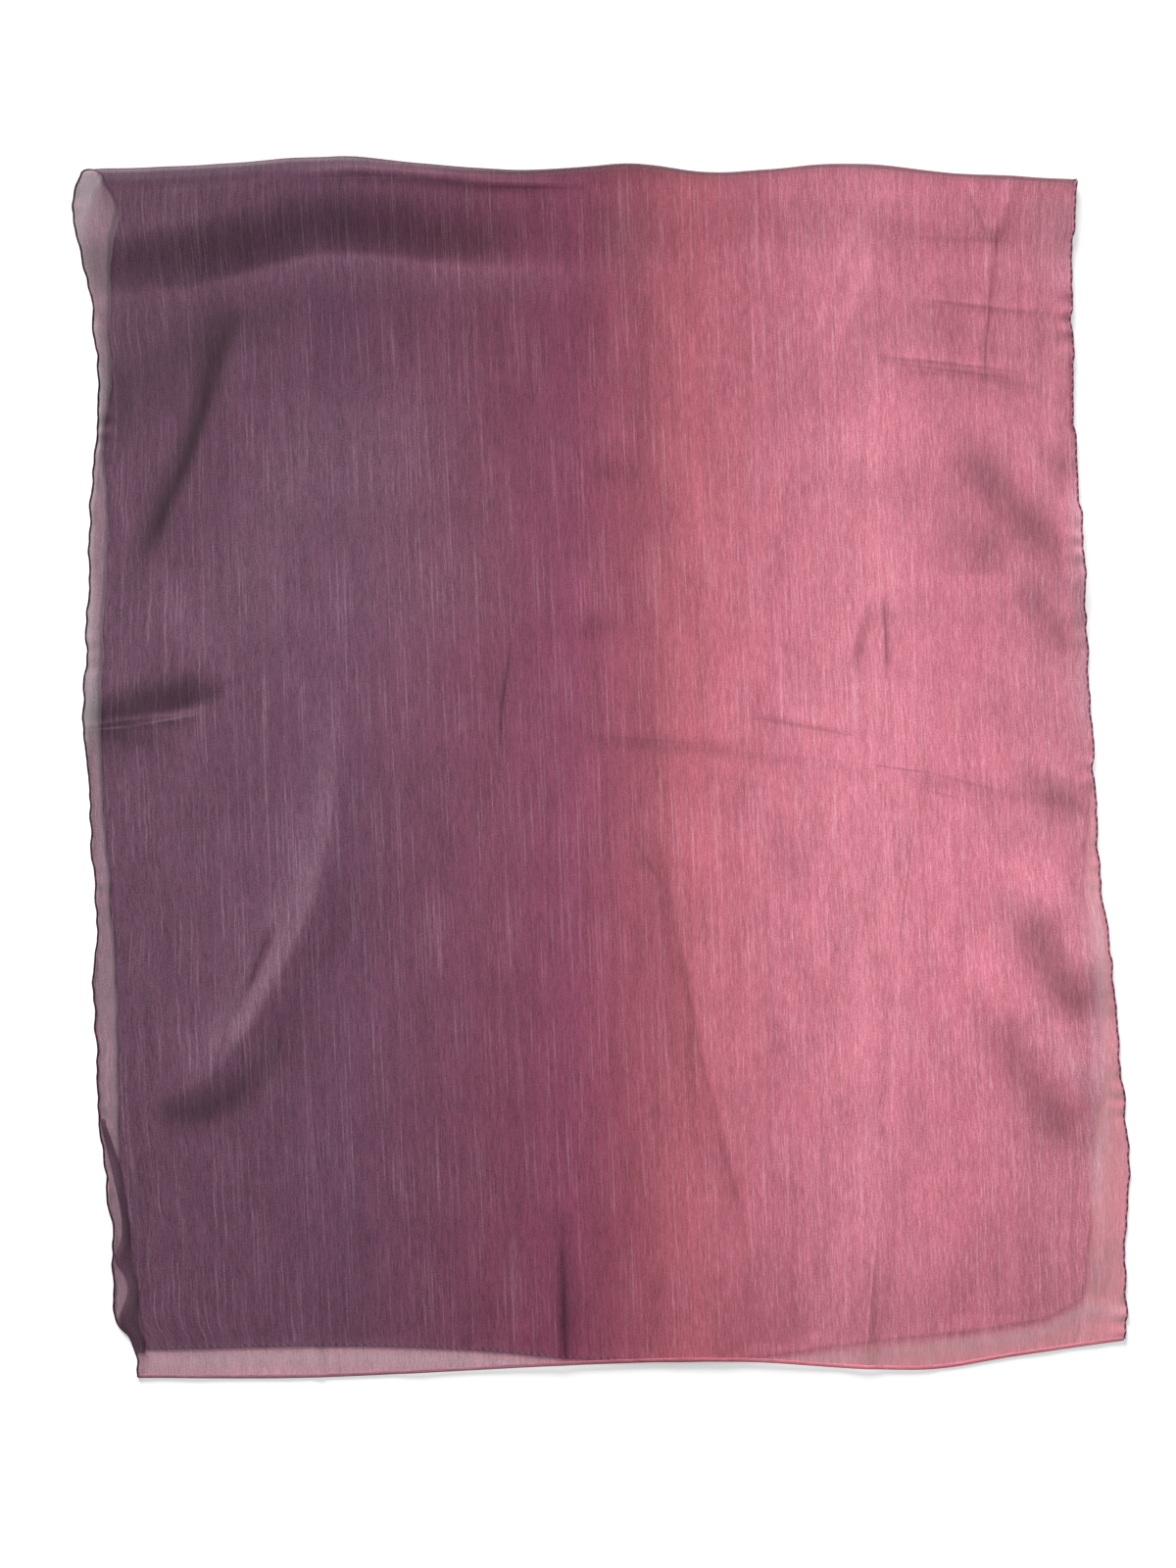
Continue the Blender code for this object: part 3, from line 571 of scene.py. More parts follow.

# %% Lines of painted shine and shade along the folds, in millimetres
PaintedShineShade = namedtuple("PaintedShineShade", "change left right fade_in fade_out path foot crest", defaults=(0.0, 0.0))
PAINTED_SHINE_SHADE_LINES = {
    "roll": PaintedShineShade(-0.16, 20, 22, 0.35, 0.35, (
        (-375, 372), (-340, 380), (-293, 393), (-218, 412), (-152, 405), (-100, 394), (-30, 386))),
    "left_bank": PaintedShineShade(-0.22, 24, 24, 0.1, 0.35, (
        (-392, 232), (-365, 264), (-330, 298), (-290, 322), (-250, 334), (-215, 332), (-190, 322))),
    "left_pleat": PaintedShineShade(-0.5, 10, 6, 0.3, 0.25, (
        (-352, 125), (-343, 145), (-327, 189), (-307, 235), (-291, 282), (-276, 330), (-268, 352))),
    "lip": PaintedShineShade(-0.44, 13, 12, 0.1, 0.28, ((-392, 36), (-361, 42), (-330, 51), (-305, 60), (-288, 68))),
    "under_the_lip": PaintedShineShade(-0.2, 6, 6, 0.1, 0.3, ((-378, 23), (-355, 22), (-322, 16))),
    "long_curve": PaintedShineShade(0.4, 22, 3, 0.2, 0.7, (
        (-322, -238), (-294, -228), (-276, -208), (-260, -184), (-246, -158), (-223, -114), (-208, -60),
        (-201, 0), (-199, 60), (-200, 130))),
    "long_curve_dull": PaintedShineShade(-0.08, 3, 20, 0.15, 0.8, (
        (-346, -258), (-316, -246), (-290, -234), (-270, -212), (-254, -186), (-238, -158), (-215, -114),
        (-198, -60), (-190, 0))),
    "long_curve_nick": PaintedShineShade(-0.34, 3.5, 3.5, 0.2, 0.5, (
        (-266, -170), (-256, -150), (-246, -128), (-236, -102))),
    "long_curve_nick_low": PaintedShineShade(-0.22, 3, 3, 0.3, 0.4, ((-289, -236), (-284, -212), (-276, -188))),
    "short_stroke": PaintedShineShade(-0.2, 3, 3, 0.3, 0.3, ((-79, 10), (-75, 50), (-73, 98))),
    # painted shade of two soft folds
    "soft_fold_above": PaintedShineShade(-0.07, 14, 14, 0.4, 0.4, ((0, 205), (8, 225), (12, 245))),
    "soft_fold_below": PaintedShineShade(-0.07, 14, 14, 0.4, 0.4, ((-22, 100), (-2, 110), (12, 124))),
    "middle_line": PaintedShineShade(-0.2, 7, 6, 0.3, 0.3, ((-25, 20), (62, 16), (100, 13), (140, 7))),
    "middle_line_end": PaintedShineShade(-0.28, 10, 14, 0.4, 0.3, ((298, 4), (322, -10), (346, -24), (362, -44))),
    "fold_line": PaintedShineShade(0.16, 2.5, 2.5, 0.2, 0.2, (
        (-359, 423), (-272, 431), (-220, 440), (-165, 439), (-100, 438))),
    "diagonal": PaintedShineShade(-0.17, 22, 5, 0.3, 0.1, (
        (116, -380), (104, -330), (92, -290), (74, -222), (58, -150), (47, -85), (34, -52), (12, -34))),
    "diagonal_bright": PaintedShineShade(0.1, 4, 24, 0.3, 0.2, ((108, -330), (82, -222), (66, -150), (56, -60))),
    "little_diagonal": PaintedShineShade(-0.09, 10, 4, 0.3, 0.3, ((153, -84), (138, -54), (132, -2))),
    "end_peak": PaintedShineShade(-0.46, 4, 8, 0.05, 0.7, ((-27, -470), (-29, -437), (-31, -380), (-32, -310))),
    "long_thin_line": PaintedShineShade(-0.18, 2, 10, 0.05, 0.7, ((192, -470), (199, -400), (208, -320), (216, -220))),
    "shoulder": PaintedShineShade(-0.3, 14, 16, 0.4, 0.15, (
        (262, 262), (275, 236), (290, 210), (308, 189), (331, 170), (355, 153))),
    "shoulder_patch": PaintedShineShade(-0.28, 20, 20, 0.3, 0.3, ((236, 176), (262, 170), (290, 160), (306, 148))),
    "shoulder_tail": PaintedShineShade(-0.24, 10, 10, 0.3, 0.2, ((300, 148), (322, 124), (340, 100), (352, 74)), 0.3),
    "wide_stroke": PaintedShineShade(-0.1, 7, 7, 0.3, 0.3, ((186, 68), (192, 100), (201, 136))),
    "sharp_stroke": PaintedShineShade(-0.22, 3, 3, 0.3, 0.3, ((211, 68), (212, 100), (208, 132))),
    "upper_bend": PaintedShineShade(-0.3, 13, 15, 0.42, 0.12, (
        (298, -70), (314, -108), (329, -142), (346, -170), (366, -186))),
    "upper_bend_bright": PaintedShineShade(0.22, 12, 10, 0.4, 0.3, ((334, -72), (350, -112), (366, -142), (382, -158))),
    "right_strip_bright": PaintedShineShade(0.8, 7, 8, 0.15, 0.15, (
        (364, -60), (368, -150), (370, -230), (368, -300), (366, -350))),
    "right_strip_dull": PaintedShineShade(-0.22, 12, 12, 0.3, 0.3, ((386, -345), (376, -375), (362, -408))),
    "lower_bend": PaintedShineShade(-0.26, 13, 17, 0.4, 0.2, (
        (286, -164), (301, -196), (313, -222), (325, -247), (339, -267), (356, -280))),
    "lower_bend_bright": PaintedShineShade(0.5, 12, 9, 0.4, 0.2, ((330, -186), (344, -214), (358, -234), (378, -246))),
    "left_pleat_soft": PaintedShineShade(-0.2, 20, 12, 0.5, 0.15, ((-306, 262), (-294, 295), (-280, 325), (-266, 345))),
    "shoulder_end": PaintedShineShade(-0.26, 10, 10, 0.3, 0.3, ((332, 244), (340, 215), (347, 188))),
    "right_edge_bright": PaintedShineShade(1, 5, 10, 0.15, 0.3, (
        (351, 225), (354, 170), (357, 120), (360, 70), (362, 20), (364, -10))),
    "corner_bright": PaintedShineShade(0.4, 22, 16, 0.3, 0.3, ((328, 440), (332, 410), (340, 370), (346, 340))),
    "below_the_roll": PaintedShineShade(0.14, 9, 15, 0.4, 0.35, (
        (-330, 338), (-255, 362), (-209, 373), (-162, 373), (-106, 366), (-31, 362), (50, 358))),
    "long_curve_pocket": PaintedShineShade(-0.36, 11, 10, 0.1, 0.85, (
        (-338, -258), (-316, -258), (-290, -253), (-262, -236), (-240, -208), (-222, -172), (-208, -130))),
    "right_side_dull": PaintedShineShade(-0.15, 50, 40, 0.25, 0.3, (
        (225, 380), (260, 320), (280, 260), (285, 200), (280, 150))),
    "roll_deep": PaintedShineShade(-0.18, 12, 10, 0.35, 0.35, ((-160, 384), (-115, 384), (-70, 382), (-50, 380))),
    "roll_thin": PaintedShineShade(0.16, 20, 24, 0.35, 0.35, ((-15, 396), (5, 396), (25, 394), (50, 392))),
    "left_pleat_line": PaintedShineShade(-0.26, 5, 4, 0.25, 0.2, ((-345, 150), (-322, 195), (-302, 245), (-291, 302))),
    "bars_dull": PaintedShineShade(-0.08, 30, 30, 0.3, 0.3, ((80, 250), (150, 290), (230, 325), (300, 330))),
    "end_dull": PaintedShineShade(-0.17, 60, 60, 0.15, 0.15, ((40, -430), (150, -425), (250, -420), (380, -410))),
    "left_shine": PaintedShineShade(0.18, 30, 35, 0.3, 0.3, ((-285, 50), (-270, 120), (-235, 200), (-190, 290))),
    "plum_upper": PaintedShineShade(0.16, 60, 60, 0.25, 0.25, ((-120, 70), (-130, 140), (-150, 220), (-160, 310))),
}
print("lines of sheen:", len(PAINTED_SHINE_SHADE_LINES))

# %% Paint the shine and shade into the colour, with the under half's hem lines
# painted shade along the fold's rim, against the highlight the key lamp puts there
RIM_DEPTH = 0.024  # of the dull rim along the fold
RIM_PAINTED_SHADE = 0.12
RIM_EDGE = 0.004  # of the dark line at its very edge
RIM_EDGE_PAINTED_SHADE = 0.75
# painted light on the slope down to the table past the under half's end, against its shade
END_STRIP_PAINTED_LIGHT = 0.9  # on the slope down to the table past the under half
END_STRIP_MIDDLE = 0.007
UNDER_HEM_WIDTH = 0.0013  # of the dark line where the under half's hem shows through
UNDER_HEM_DARK = {"left": 0.50, "right": 0.25}

# painted shine and shade along the folds, from the table of lines above
painted_shine_shade_and_tone = sum(crease_height(x, y, line, line.change) for line in PAINTED_SHINE_SHADE_LINES.values())
below_fold = np.maximum(line_at(FOLD_LINE, x) - y, 0)
# painted light on the slope down past the under half's end
painted_shine_shade_and_tone += END_STRIP_PAINTED_LIGHT * np.exp(-(((past_band - END_STRIP_MIDDLE) / END_STRIP_MIDDLE) ** 2))
# painted shade along the fold's rim, darkest at its very edge
painted_shine_shade_and_tone -= RIM_PAINTED_SHADE * eased(1 - below_fold / RIM_DEPTH) + RIM_EDGE_PAINTED_SHADE * np.exp(-((below_fold / RIM_EDGE) ** 2))
# the under half's hem lines, seen through the upper half, darken its colour
for side, dark in UNDER_HEM_DARK.items():
    hem_x = side_at(UNDER_SECTIONS, side, y) + scallops(y, side)
    painted_shine_shade_and_tone -= dark * np.exp(-(((x - hem_x) / UNDER_HEM_WIDTH) ** 2))
mark(upper_cloth, "painted_shine_shade_and_tone", painted_shine_shade_and_tone)

# %% [markdown]
# ## Rolled hems
#
# The long edges are rolled and whipped over with thread, which makes a round bead less than 2 mm thick.
# A curve with a bevel would do, but the bead here swells and thins with each stitch, so it is a profile
# carried along the edge: rings of points round the route, each with its own radius.


# %% Carry a round profile along a route
STEEP = 0.3  # of the level part of a direction, below which a route climbs
WELD = 0.00001


def swept(route, wide, high, sides):
    """Rings round the route: at angle a, wide * cos(a) sideways and high * sin(a) upwards, where sideways
    is square to the route and level, and the last one's where the route climbs. wide and high hold one
    value for each point."""
    along = np.gradient(route, axis=0)
    along /= np.linalg.norm(along, axis=1, keepdims=True)
    sideways = np.cross(along, (0, 0, 1.0))
    for steep in np.flatnonzero(np.linalg.norm(sideways, axis=1) < STEEP):
        sideways[steep] = sideways[steep - 1]
    sideways /= np.linalg.norm(sideways, axis=1, keepdims=True)
    upwards = np.cross(sideways, along)
    angle = np.linspace(0, 2 * np.pi, sides, endpoint=False)
    return (
        route[:, None]
        + (wide[:, None] * np.cos(angle))[..., None] * sideways[:, None]
        + (high[:, None] * np.sin(angle))[..., None] * upwards[:, None]
    )


def tube_walls(count, sides):
    """Quads between each ring of a tube and the next."""
    ring = np.arange(sides)
    ahead = np.roll(ring, -1)
    base = (np.arange(count - 1) * sides)[:, None]
    walls = np.stack([base + ring, base + ahead, base + sides + ahead, base + sides + ring], axis=-1)
    return walls.reshape(-1, 4)


def tube_mesh(name, route, wide, high, sides, length):
    """A tube with a fan of triangles over each end, and a UV map of metres round and along it."""
    count = len(route)
    ring = np.arange(sides)
    ahead = np.roll(ring, -1)
    points = np.concatenate([swept(route, wide, high, sides).reshape(-1, 3), route[:1], route[-1:]])
    last_ring = (count - 1) * sides
    start_point, end_point = count * sides, count * sides + 1
    caps = np.concatenate([
        np.stack([np.full(sides, start_point), ahead, ring], axis=-1),
        np.stack([np.full(sides, end_point), last_ring + ring, last_ring + ahead], axis=-1),
    ])
    around = np.linspace(0, 2 * np.pi * wide.mean(), sides, endpoint=False)
    uv = np.stack(np.broadcast_arrays(around, np.linspace(0, length, count)[:, None]), axis=-1)
    uv = np.concatenate([uv.reshape(-1, 2), [[0, 0]], [[0, length]]])
    piece = as_mesh(name, points, tube_walls(count, sides), uv)
    closing = as_mesh(name + "_caps", points, caps, uv)
    with bpy.context.temp_override(active_object=piece, selected_editable_objects=[piece, closing]):
        bpy.ops.object.join()
    weld = piece.modifiers.new("weld", "WELD")
    weld.merge_threshold = WELD
    return piece


# %% Routes of the two rolled hems
HEM_STEP = 0.0020
HEM_SIDES = 10
BEAD_SWELL = 0.08  # share by which the bead swells and thins
SWELL_SPACING = 0.0121
SWELL_GROUP = 0.0470


def resampled(points, step):
    """The same route with a point every `step` metres."""
    run = np.concatenate([[0], np.cumsum(np.linalg.norm(np.diff(points, axis=0), axis=1))])
    at = np.arange(0, run[-1], step)
    return np.stack([np.interp(at, run, points[:, k]) for k in range(3)], axis=1), run[-1]


def long_edge(at):
    """Up the under half's edge, round the bight and down the upper half's edge, in column `at` of the
    points, and on over the end hems."""
    edge = np.concatenate([under_points[::-1, at], upper_points[:, at]])
    end_reach = np.array((0, -END_HEM_DEPTH, 0))
    edge = np.concatenate([edge[:1] + end_reach, edge, edge[-1:] + end_reach])
    edge[:, 2] = np.maximum(edge[:, 2], HEM_RADIUS)
    return edge


def rolled_hem(name, edge):
    """A bead whose radius is 1 - s + s sin(2 pi d / spacing) sin(2 pi d / group) of the hem's, with s the
    swell and d the distance along it."""
    route, length = resampled(edge, HEM_STEP)
    turn = 2 * np.pi * np.arange(len(route)) * HEM_STEP
    swell = BEAD_SWELL * np.sin(turn / SWELL_SPACING) * np.sin(turn / SWELL_GROUP)
    bead = HEM_RADIUS * (1 - BEAD_SWELL + swell)
    return tube_mesh(name, route, bead, bead, HEM_SIDES, length)


left_hem = rolled_hem("left_hem_bead", long_edge(0))
right_hem = rolled_hem("right_hem_bead", long_edge(-1))

# %% [markdown]
# ## End hems and their stitches
#
# The short ends are turned twice and sewn down, which makes a flat band 3 mm deep. On the under half the
# slanting stitches show, so each is a small bar of thread laid across the band. One stitch is made and
# the rest are the same points moved along, joined into a single mesh.


# %% The two bands
BAND_HALF_THICK = 0.0005
BAND_SIDES = 8
# the end band is darkened a little: painted shade on its rounded top, and the deeper tone of its folded
# layers
UPPER_BAND_MARKS = {"alone": 0.7, "paler": 0.35, "painted_shine_shade_and_tone": -0.15}


def band_middle(end_points, step):
    """The middle line of the band past a row of end points, and its length."""
    return resampled(end_points + np.array((0, -END_HEM_DEPTH / 2, 0)), step)


def end_band(name, end_points):
    """A flat tube along the middle line, as wide as the hem is deep."""
    route, length = band_middle(end_points, HEM_STEP)
    route[:, 2] = np.maximum(route[:, 2], HEM_RADIUS)
    wide = np.full(len(route), END_HEM_DEPTH / 2)
    return tube_mesh(name, route, wide, np.full(len(route), BAND_HALF_THICK), BAND_SIDES, length)


under_band = end_band("under_end_band", under_points[-1])
upper_band = end_band("upper_end_band", upper_points[-1])
for name, value in UPPER_BAND_MARKS.items():
    mark(upper_band, name, np.full(len(upper_band.data.vertices), value))

# %% The slanting stitches
STITCH_SPACING = 0.0052
STITCH_LENGTH = 0.0032
STITCH_THICK = 0.00042
STITCH_SLANT = np.radians(-24)
STITCH_SIDES = STITCH_RINGS = 6
STITCH_TAPER = 1.9
BLUNT = 0.02  # what is left of the roundness at the tips

stitch_route, _ = band_middle(under_points[-1], STITCH_SPACING)
t = np.linspace(-0.5, 0.5, STITCH_RINGS)
single = np.stack([
    STITCH_LENGTH * t * np.cos(STITCH_SLANT),
    STITCH_LENGTH * t * np.sin(STITCH_SLANT),
    np.full(STITCH_RINGS, BAND_HALF_THICK),
], axis=1)
plump = STITCH_THICK * np.sqrt(np.clip(1 - (STITCH_TAPER * t) ** 2, BLUNT, 1))
one = swept(single, plump, plump, STITCH_SIDES).reshape(-1, 3)
one_faces = tube_walls(STITCH_RINGS, STITCH_SIDES)
stitch_points = (stitch_route[:, None] + np.array((0, 0, HEM_RADIUS - LAYER / 2)) + one).reshape(-1, 3)
stitch_faces = (np.arange(len(stitch_route))[:, None, None] * len(one) + one_faces).reshape(-1, 4)
stitches = as_mesh("end_stitches", stitch_points, stitch_faces)

# %% [markdown]
# ## The edge turned over
#
# Near the lower left corner the edge of the upper half has been turned over on itself, so a narrow
# wedge shows three layers of plum and is nearly black, but for two gaps that let the light through. It is
# a small sheet laid on the upper half.

# %% Make the turned edge, its sections in millimetres in from the upper half's edge
TURNED_SECTIONS = in_metres(
    Section,
    (-262, 0.5, 4), (-300, 5, 12), (-340, 7.5, 13), (-353, 6, 13), (-366, 1, 13), (-379, 8.5, 17),
    (-399, 8, 18.5), (-408, 4, 18), (-414, 0.6, 16.5), (-425, 0.4, 10.5), (-436, 0.4, 7),
)
TURNED_COLUMNS, TURNED_ROWS = 16, 80
TURNED_WIDTH, TURNED_LENGTH = 0.02, 0.17
TURNED_LIFT = 0.0006  # over the cloth below it, and as much again in its middle


def turned_place(u, v):
    """Share u across the wedge and v down it, lifted by (1 + sin(pi u)) lifts."""
    y = TURNED_SECTIONS[0].y + (TURNED_SECTIONS[-1].y - TURNED_SECTIONS[0].y) * v
    edge = side_at(UPPER_SECTIONS, "left", y) + HEM_RADIUS
    left = side_at(TURNED_SECTIONS, "left", y)
    right = side_at(TURNED_SECTIONS, "right", y)
    x = edge + left + (right - left) * u
    return np.stack([x, y, upper_height(x, y) + TURNED_LIFT * (1 + np.sin(np.pi * u))], axis=-1)


u, v = np.meshgrid(np.linspace(0, 1, TURNED_COLUMNS + 1), np.linspace(0, 1, TURNED_ROWS + 1))
turned_cloth = as_mesh(
    "turned_cloth",
    turned_place(u, v).reshape(-1, 3),
    grid_faces(TURNED_COLUMNS, TURNED_ROWS),
    np.stack([u * TURNED_WIDTH, -v * TURNED_LENGTH], axis=-1).reshape(-1, 2),
)

# %% Mark its dark layers, and the two gaps in them
Gap = namedtuple("Gap", "light u v half_width half_length")
GAPS = (Gap(0.34, 0.35, 0.22, 0.30, 0.09), Gap(0.40, 0.20, 0.68, 0.30, 0.10))
# its colour darkened to nearly black, and lighter in the two gaps
TURNED_DARKENING = -0.52
mark(turned_cloth, "painted_shine_shade_and_tone", TURNED_DARKENING + sum(
    gap.light * np.exp(-(((v - gap.v) / gap.half_length) ** 2) - ((u - gap.u) / gap.half_width) ** 2)
    for gap in GAPS
))

# %% [markdown]
# ## Materials
#
# Everything is dyed cloth and thread: no metal, roughness in the middle, and an IOR near 1.5. A short
# function adds a node, sets it up and links it, so that each material below reads as a list of steps.


# %% Colour and node helpers
def linear(code):
    """An sRGB hex colour as linear red, green and blue with full alpha."""
    channels = [int(code[i : i + 2], 16) / 255 for i in (1, 3, 5)]
    return (*(c / 12.92 if c <= 0.04045 else ((c + 0.055) / 1.055) ** 2.4 for c in channels), 1.0)


def add(tree, kind, inputs=None, **settings):
    """Adds the shader node of this kind. settings are its properties. An input is a value, a socket to
    link, or a node, whose first live output is then linked."""
    node = tree.nodes.new("ShaderNode" + kind)
    for name, value in settings.items():
        setattr(node, name, value)
    for socket, value in (inputs or {}).items():
        if isinstance(value, bpy.types.Node):
            value = next(output for output in value.outputs if output.enabled)
        if isinstance(value, bpy.types.NodeSocket):
            tree.links.new(value, node.inputs[socket])
        else:
            node.inputs[socket].default_value = value
    return node


def new_material(name):
    material = bpy.data.materials.new(name)
    material.use_nodes = True
    return material, material.node_tree, material.node_tree.nodes["Principled BSDF"]


# %% [markdown]
# ### Satin chiffon, dyed from plum to rose
#
# The dye runs straight across the shawl, so its colour follows the distance from the plum edge. The weave
# is crinkled satin, probably polyester: thick and thin threads run the long way as fine broken streaks,
# and the thick ones catch the light, which gives the eye a dry shimmer and not a gloss. The threads' own
# tone varies, and their shimmer is painted into the colour as glints. Real threads are a tenth of a
# millimetre wide, too fine to show, so they are drawn in bundles of 0.7 to 0.9 mm.

# %% Colours of the dye across the shawl, in metres from its middle
DYE_LEFT, DYE_RIGHT = -0.40, 0.40
DYE_STOPS = (
    (-0.39, "#735065"), (-0.19, "#774B65"), (-0.09, "#874962"), (-0.02, "#994B68"), (0.03, "#B05B6C"),
    (0.07, "#D47183"), (0.13, "#E07F94"), (0.20, "#F392A7"), (0.27, "#EC899F"), (0.36, "#E38A9D"),
)
# painted light from the white table, in a single layer lying on it
PALE_PLUM, PALE_ROSE = "#F49CB4", "#FF7288"  # of a single layer on the white table
# the pale colour that painted highlights and glints mix towards, and the tint of the shader's real gloss
PAINTED_SHINE_COLOUR, SATIN_TINT = "#F2D8E4", "#FFE1F0"
PAINTED_SHINE_SHARE = 0.24  # share of the shine that full sheen adds
COVER_DOUBLE = 0.77  # of the view, by the threads of one layer where two lie together
COVER_ALONE = 0.56

# %% Sizes of the weave, in metres, and how much each part changes the tone
THREAD = 0.0007
FLOAT_LENGTH = 0.010
SLUB_WIDTH, SLUB_LENGTH = 0.0009, 0.090
BAND, BAND_LENGTH = 0.0050, 0.26
CLOUD, CLOUD_LENGTH = 0.020, 0.050
CREPE_GRAIN = 0.0013
TONE_START, TONE_LOWEST = 0.50, 0.64
BAND_WEIGHT, CLOUD_WEIGHT, SLUB_WEIGHT, CREPE_WEIGHT = 0.30, 0.36, 0.34, 0.6
GRAIN_MIDDLE = 0.8
RELIEF_WEIGHT = 3.5  # of the bands, beside the floats, in the bump
STRIP_STEP = 7.31  # between the noise of one bundle and the next, so that they don't look alike
SLUB_SEED, FLOAT_SEED = 3.0, 51.0
SLUB_FROM, SLUB_TO = 0.56, 0.72  # the part of its noise that shines
FLOAT_FROM, FLOAT_TO = 0.50, 0.75
Turn = namedtuple("Turn", "start end low high")
TURNS = {  # from low, at x = start, to high, at x = end
    "dye": Turn(DYE_LEFT, DYE_RIGHT, 0.0, 1.0),
    "pale": Turn(-0.10, 0.20, 0.0, 1.0),
    # how much painted glint the slubs and the floats add, from plum to rose
    "slub_shine": Turn(-0.04, 0.16, 0.10, 0.20),
    "float_shine": Turn(0.02, 0.16, 0.0, 0.14),
    "grain_depth": Turn(-0.12, 0.08, 1.30, 0.90),
}


# %% [markdown]
# Fine creases stay where the shawl was pressed while it was folded away. They are thinner than the grid
# of points can hold, so their highlights and shade are painted into the colour: for each one the distance
# from a straight line gives a narrow lighter or darker band, which thins out towards both ends.

# %% Painted highlights and shade of fine creases, in millimetres: two ends, half the width, and how much lighter or darker
Fine = namedtuple("Fine", "start end half_width change")
PAINTED_CREASE_LINES = (
    Fine((-390, 26), (-340, 31), 1.2, 0.55),  # the lip of the short pleat at the left
    Fine((-350, 30), (-296, 40), 1, 0.4),
    Fine((-388, 28.5), (-318, 37.5), 2.2, -0.42),
    Fine((-266, -176), (-252, -132), 2.4, -0.3),  # nicks in the long curve
    Fine((-256, -146), (-242, -108), 1.6, -0.25),
    Fine((-289, -236), (-279, -190), 1.4, -0.22),
    Fine((-76, 10), (-74, 70), 1.6, -0.36),  # a short stroke in the middle
    Fine((-75, 40), (-67, 100), 1.4, -0.35),
    Fine((-78, 2), (-79, 50), 1.2, 0.18),
    Fine((212, 68), (209, 128), 1.5, -0.4),  # two strokes on the rose side
    Fine((184, 58), (200, 128), 4.8, -0.18),
    Fine((269, 440), (290, 389), 1.3, 0.22),  # a star near the fold
    Fine((267, 436), (287, 390), 2.2, -0.18),
    Fine((294, 412), (292, 376), 1.6, -0.32),
    Fine((311, 404), (325, 438), 1.4, 0.16),
    Fine((308, 406), (321, 438), 2.2, -0.12),
    Fine((292, 392), (282, 274), 1.3, -0.26),
    Fine((295, 370), (287, 300), 1.6, 0.12),
    Fine((225, 349), (330, 336), 2, -0.2),  # bars across it
    Fine((225, 394), (318, 390), 2.8, -0.13),
    Fine((199, 306), (318, 293), 1.8, -0.22),
    Fine((215, 300), (310, 288), 1.2, -0.16),
    Fine((-20, 24), (90, 16), 1.4, -0.09),  # the long line across the middle
    Fine((110, 10), (215, 0), 1.2, -0.08),
    Fine((105, 38), (190, 23), 2, -0.17),
    Fine((198, 1.5), (248, -5), 1.1, -0.3),
    Fine((236, -3), (296, -18), 1.8, -0.14),
    Fine((234, -16), (272, -25), 1.6, -0.15),
    Fine((234, -22), (219, -150), 1.1, -0.22),  # a line that runs to the free end
    Fine((236, -22), (222, -140), 1.1, 0.3),
    Fine((223, -120), (210, -290), 1.1, 0.35),
    Fine((211, -260), (192, -470), 1.2, 0.45),
    Fine((206, -330), (197, -480), 3, -0.14),
    Fine((-31, -310), (-26, -480), 3, -0.3),  # folds at the free end
    Fine((-213, -340), (-211, -430), 0.9, 0.16),
    Fine((-198, -425), (-193, -470), 1.8, -0.5),
    Fine((-326, -425), (-314, -470), 4, -0.24),
    Fine((20, -46), (48, -95), 3, -0.14),  # the diagonal
    Fine((46, -75), (78, -240), 3.4, -0.16),
    Fine((72, -210), (112, -370), 3.4, -0.14),
    Fine((-240, 435), (-100, 436), 1.2, 0.2),  # near the fold
    Fine((-130, 434), (-10, 434), 1.2, 0.25),
    Fine((-100, 430), (-10, 430), 1.6, -0.28),
    Fine((-383, 440), (-378, 408), 1.3, 0.25),  # short pleats in the corner
    Fine((-375, 442), (-370, 414), 1.2, 0.22),
    Fine((-368, 441), (-362, 418), 1.2, 0.18),
)
print("fine creases:", len(PAINTED_CREASE_LINES))


def painted_crease_lines(tree, place):
    """The painted highlights and shade of the creases: the sum over them of change * (1 - q^2 - s^2), where
    it is above 0, with q the distance from the line in half widths and s the distance from its middle in
    half
    lengths: a lens, thin at the ends."""
    total = 0.0
    for fine in PAINTED_CREASE_LINES:
        start, end = np.array(fine.start) / 1000, np.array(fine.end) / 1000
        across, up = end - start
        lens = add(tree, "Mapping", {
            "Vector": place,
            "Location": (*(start + end) / 2, 0),
            "Rotation": (0, 0, np.arctan2(up, across)),
            "Scale": (np.hypot(across, up) / 2, fine.half_width / 1000, 1),
        }, vector_type="TEXTURE")
        square = add(tree, "VectorMath", {0: lens, 1: lens}, operation="DOT_PRODUCT")
        inside = add(tree, "Math", {
            0: 1.0, 1: square.outputs["Value"]}, operation="SUBTRACT", use_clamp=True)
        total = add(tree, "Math", {0: inside, 1: fine.change, 2: total}, operation="MULTIPLY_ADD")
    return total


# %% Patterns of the weave
def streaks(tree, uv, width, length, seed):
    """Each bundle of threads is a strip `width` wide with its own run of noise along the cloth: the
    bundle's number, floor(u / width), picks the noise and v / length walks along it."""
    bundle = add(tree, "Math", {0: uv.outputs["X"], 1: width}, operation="DIVIDE")
    bundle = add(tree, "Math", {0: bundle}, operation="FLOOR")
    bundle = add(tree, "Math", {0: bundle, 1: STRIP_STEP, 2: seed}, operation="MULTIPLY_ADD")
    along = add(tree, "Math", {0: uv.outputs["Y"], 1: length}, operation="DIVIDE")
    place = add(tree, "CombineXYZ", {"X": bundle, "Y": along})
    return add(tree, "TexNoise", {"Vector": place, "Scale": 1.0, "Detail": 1.0})


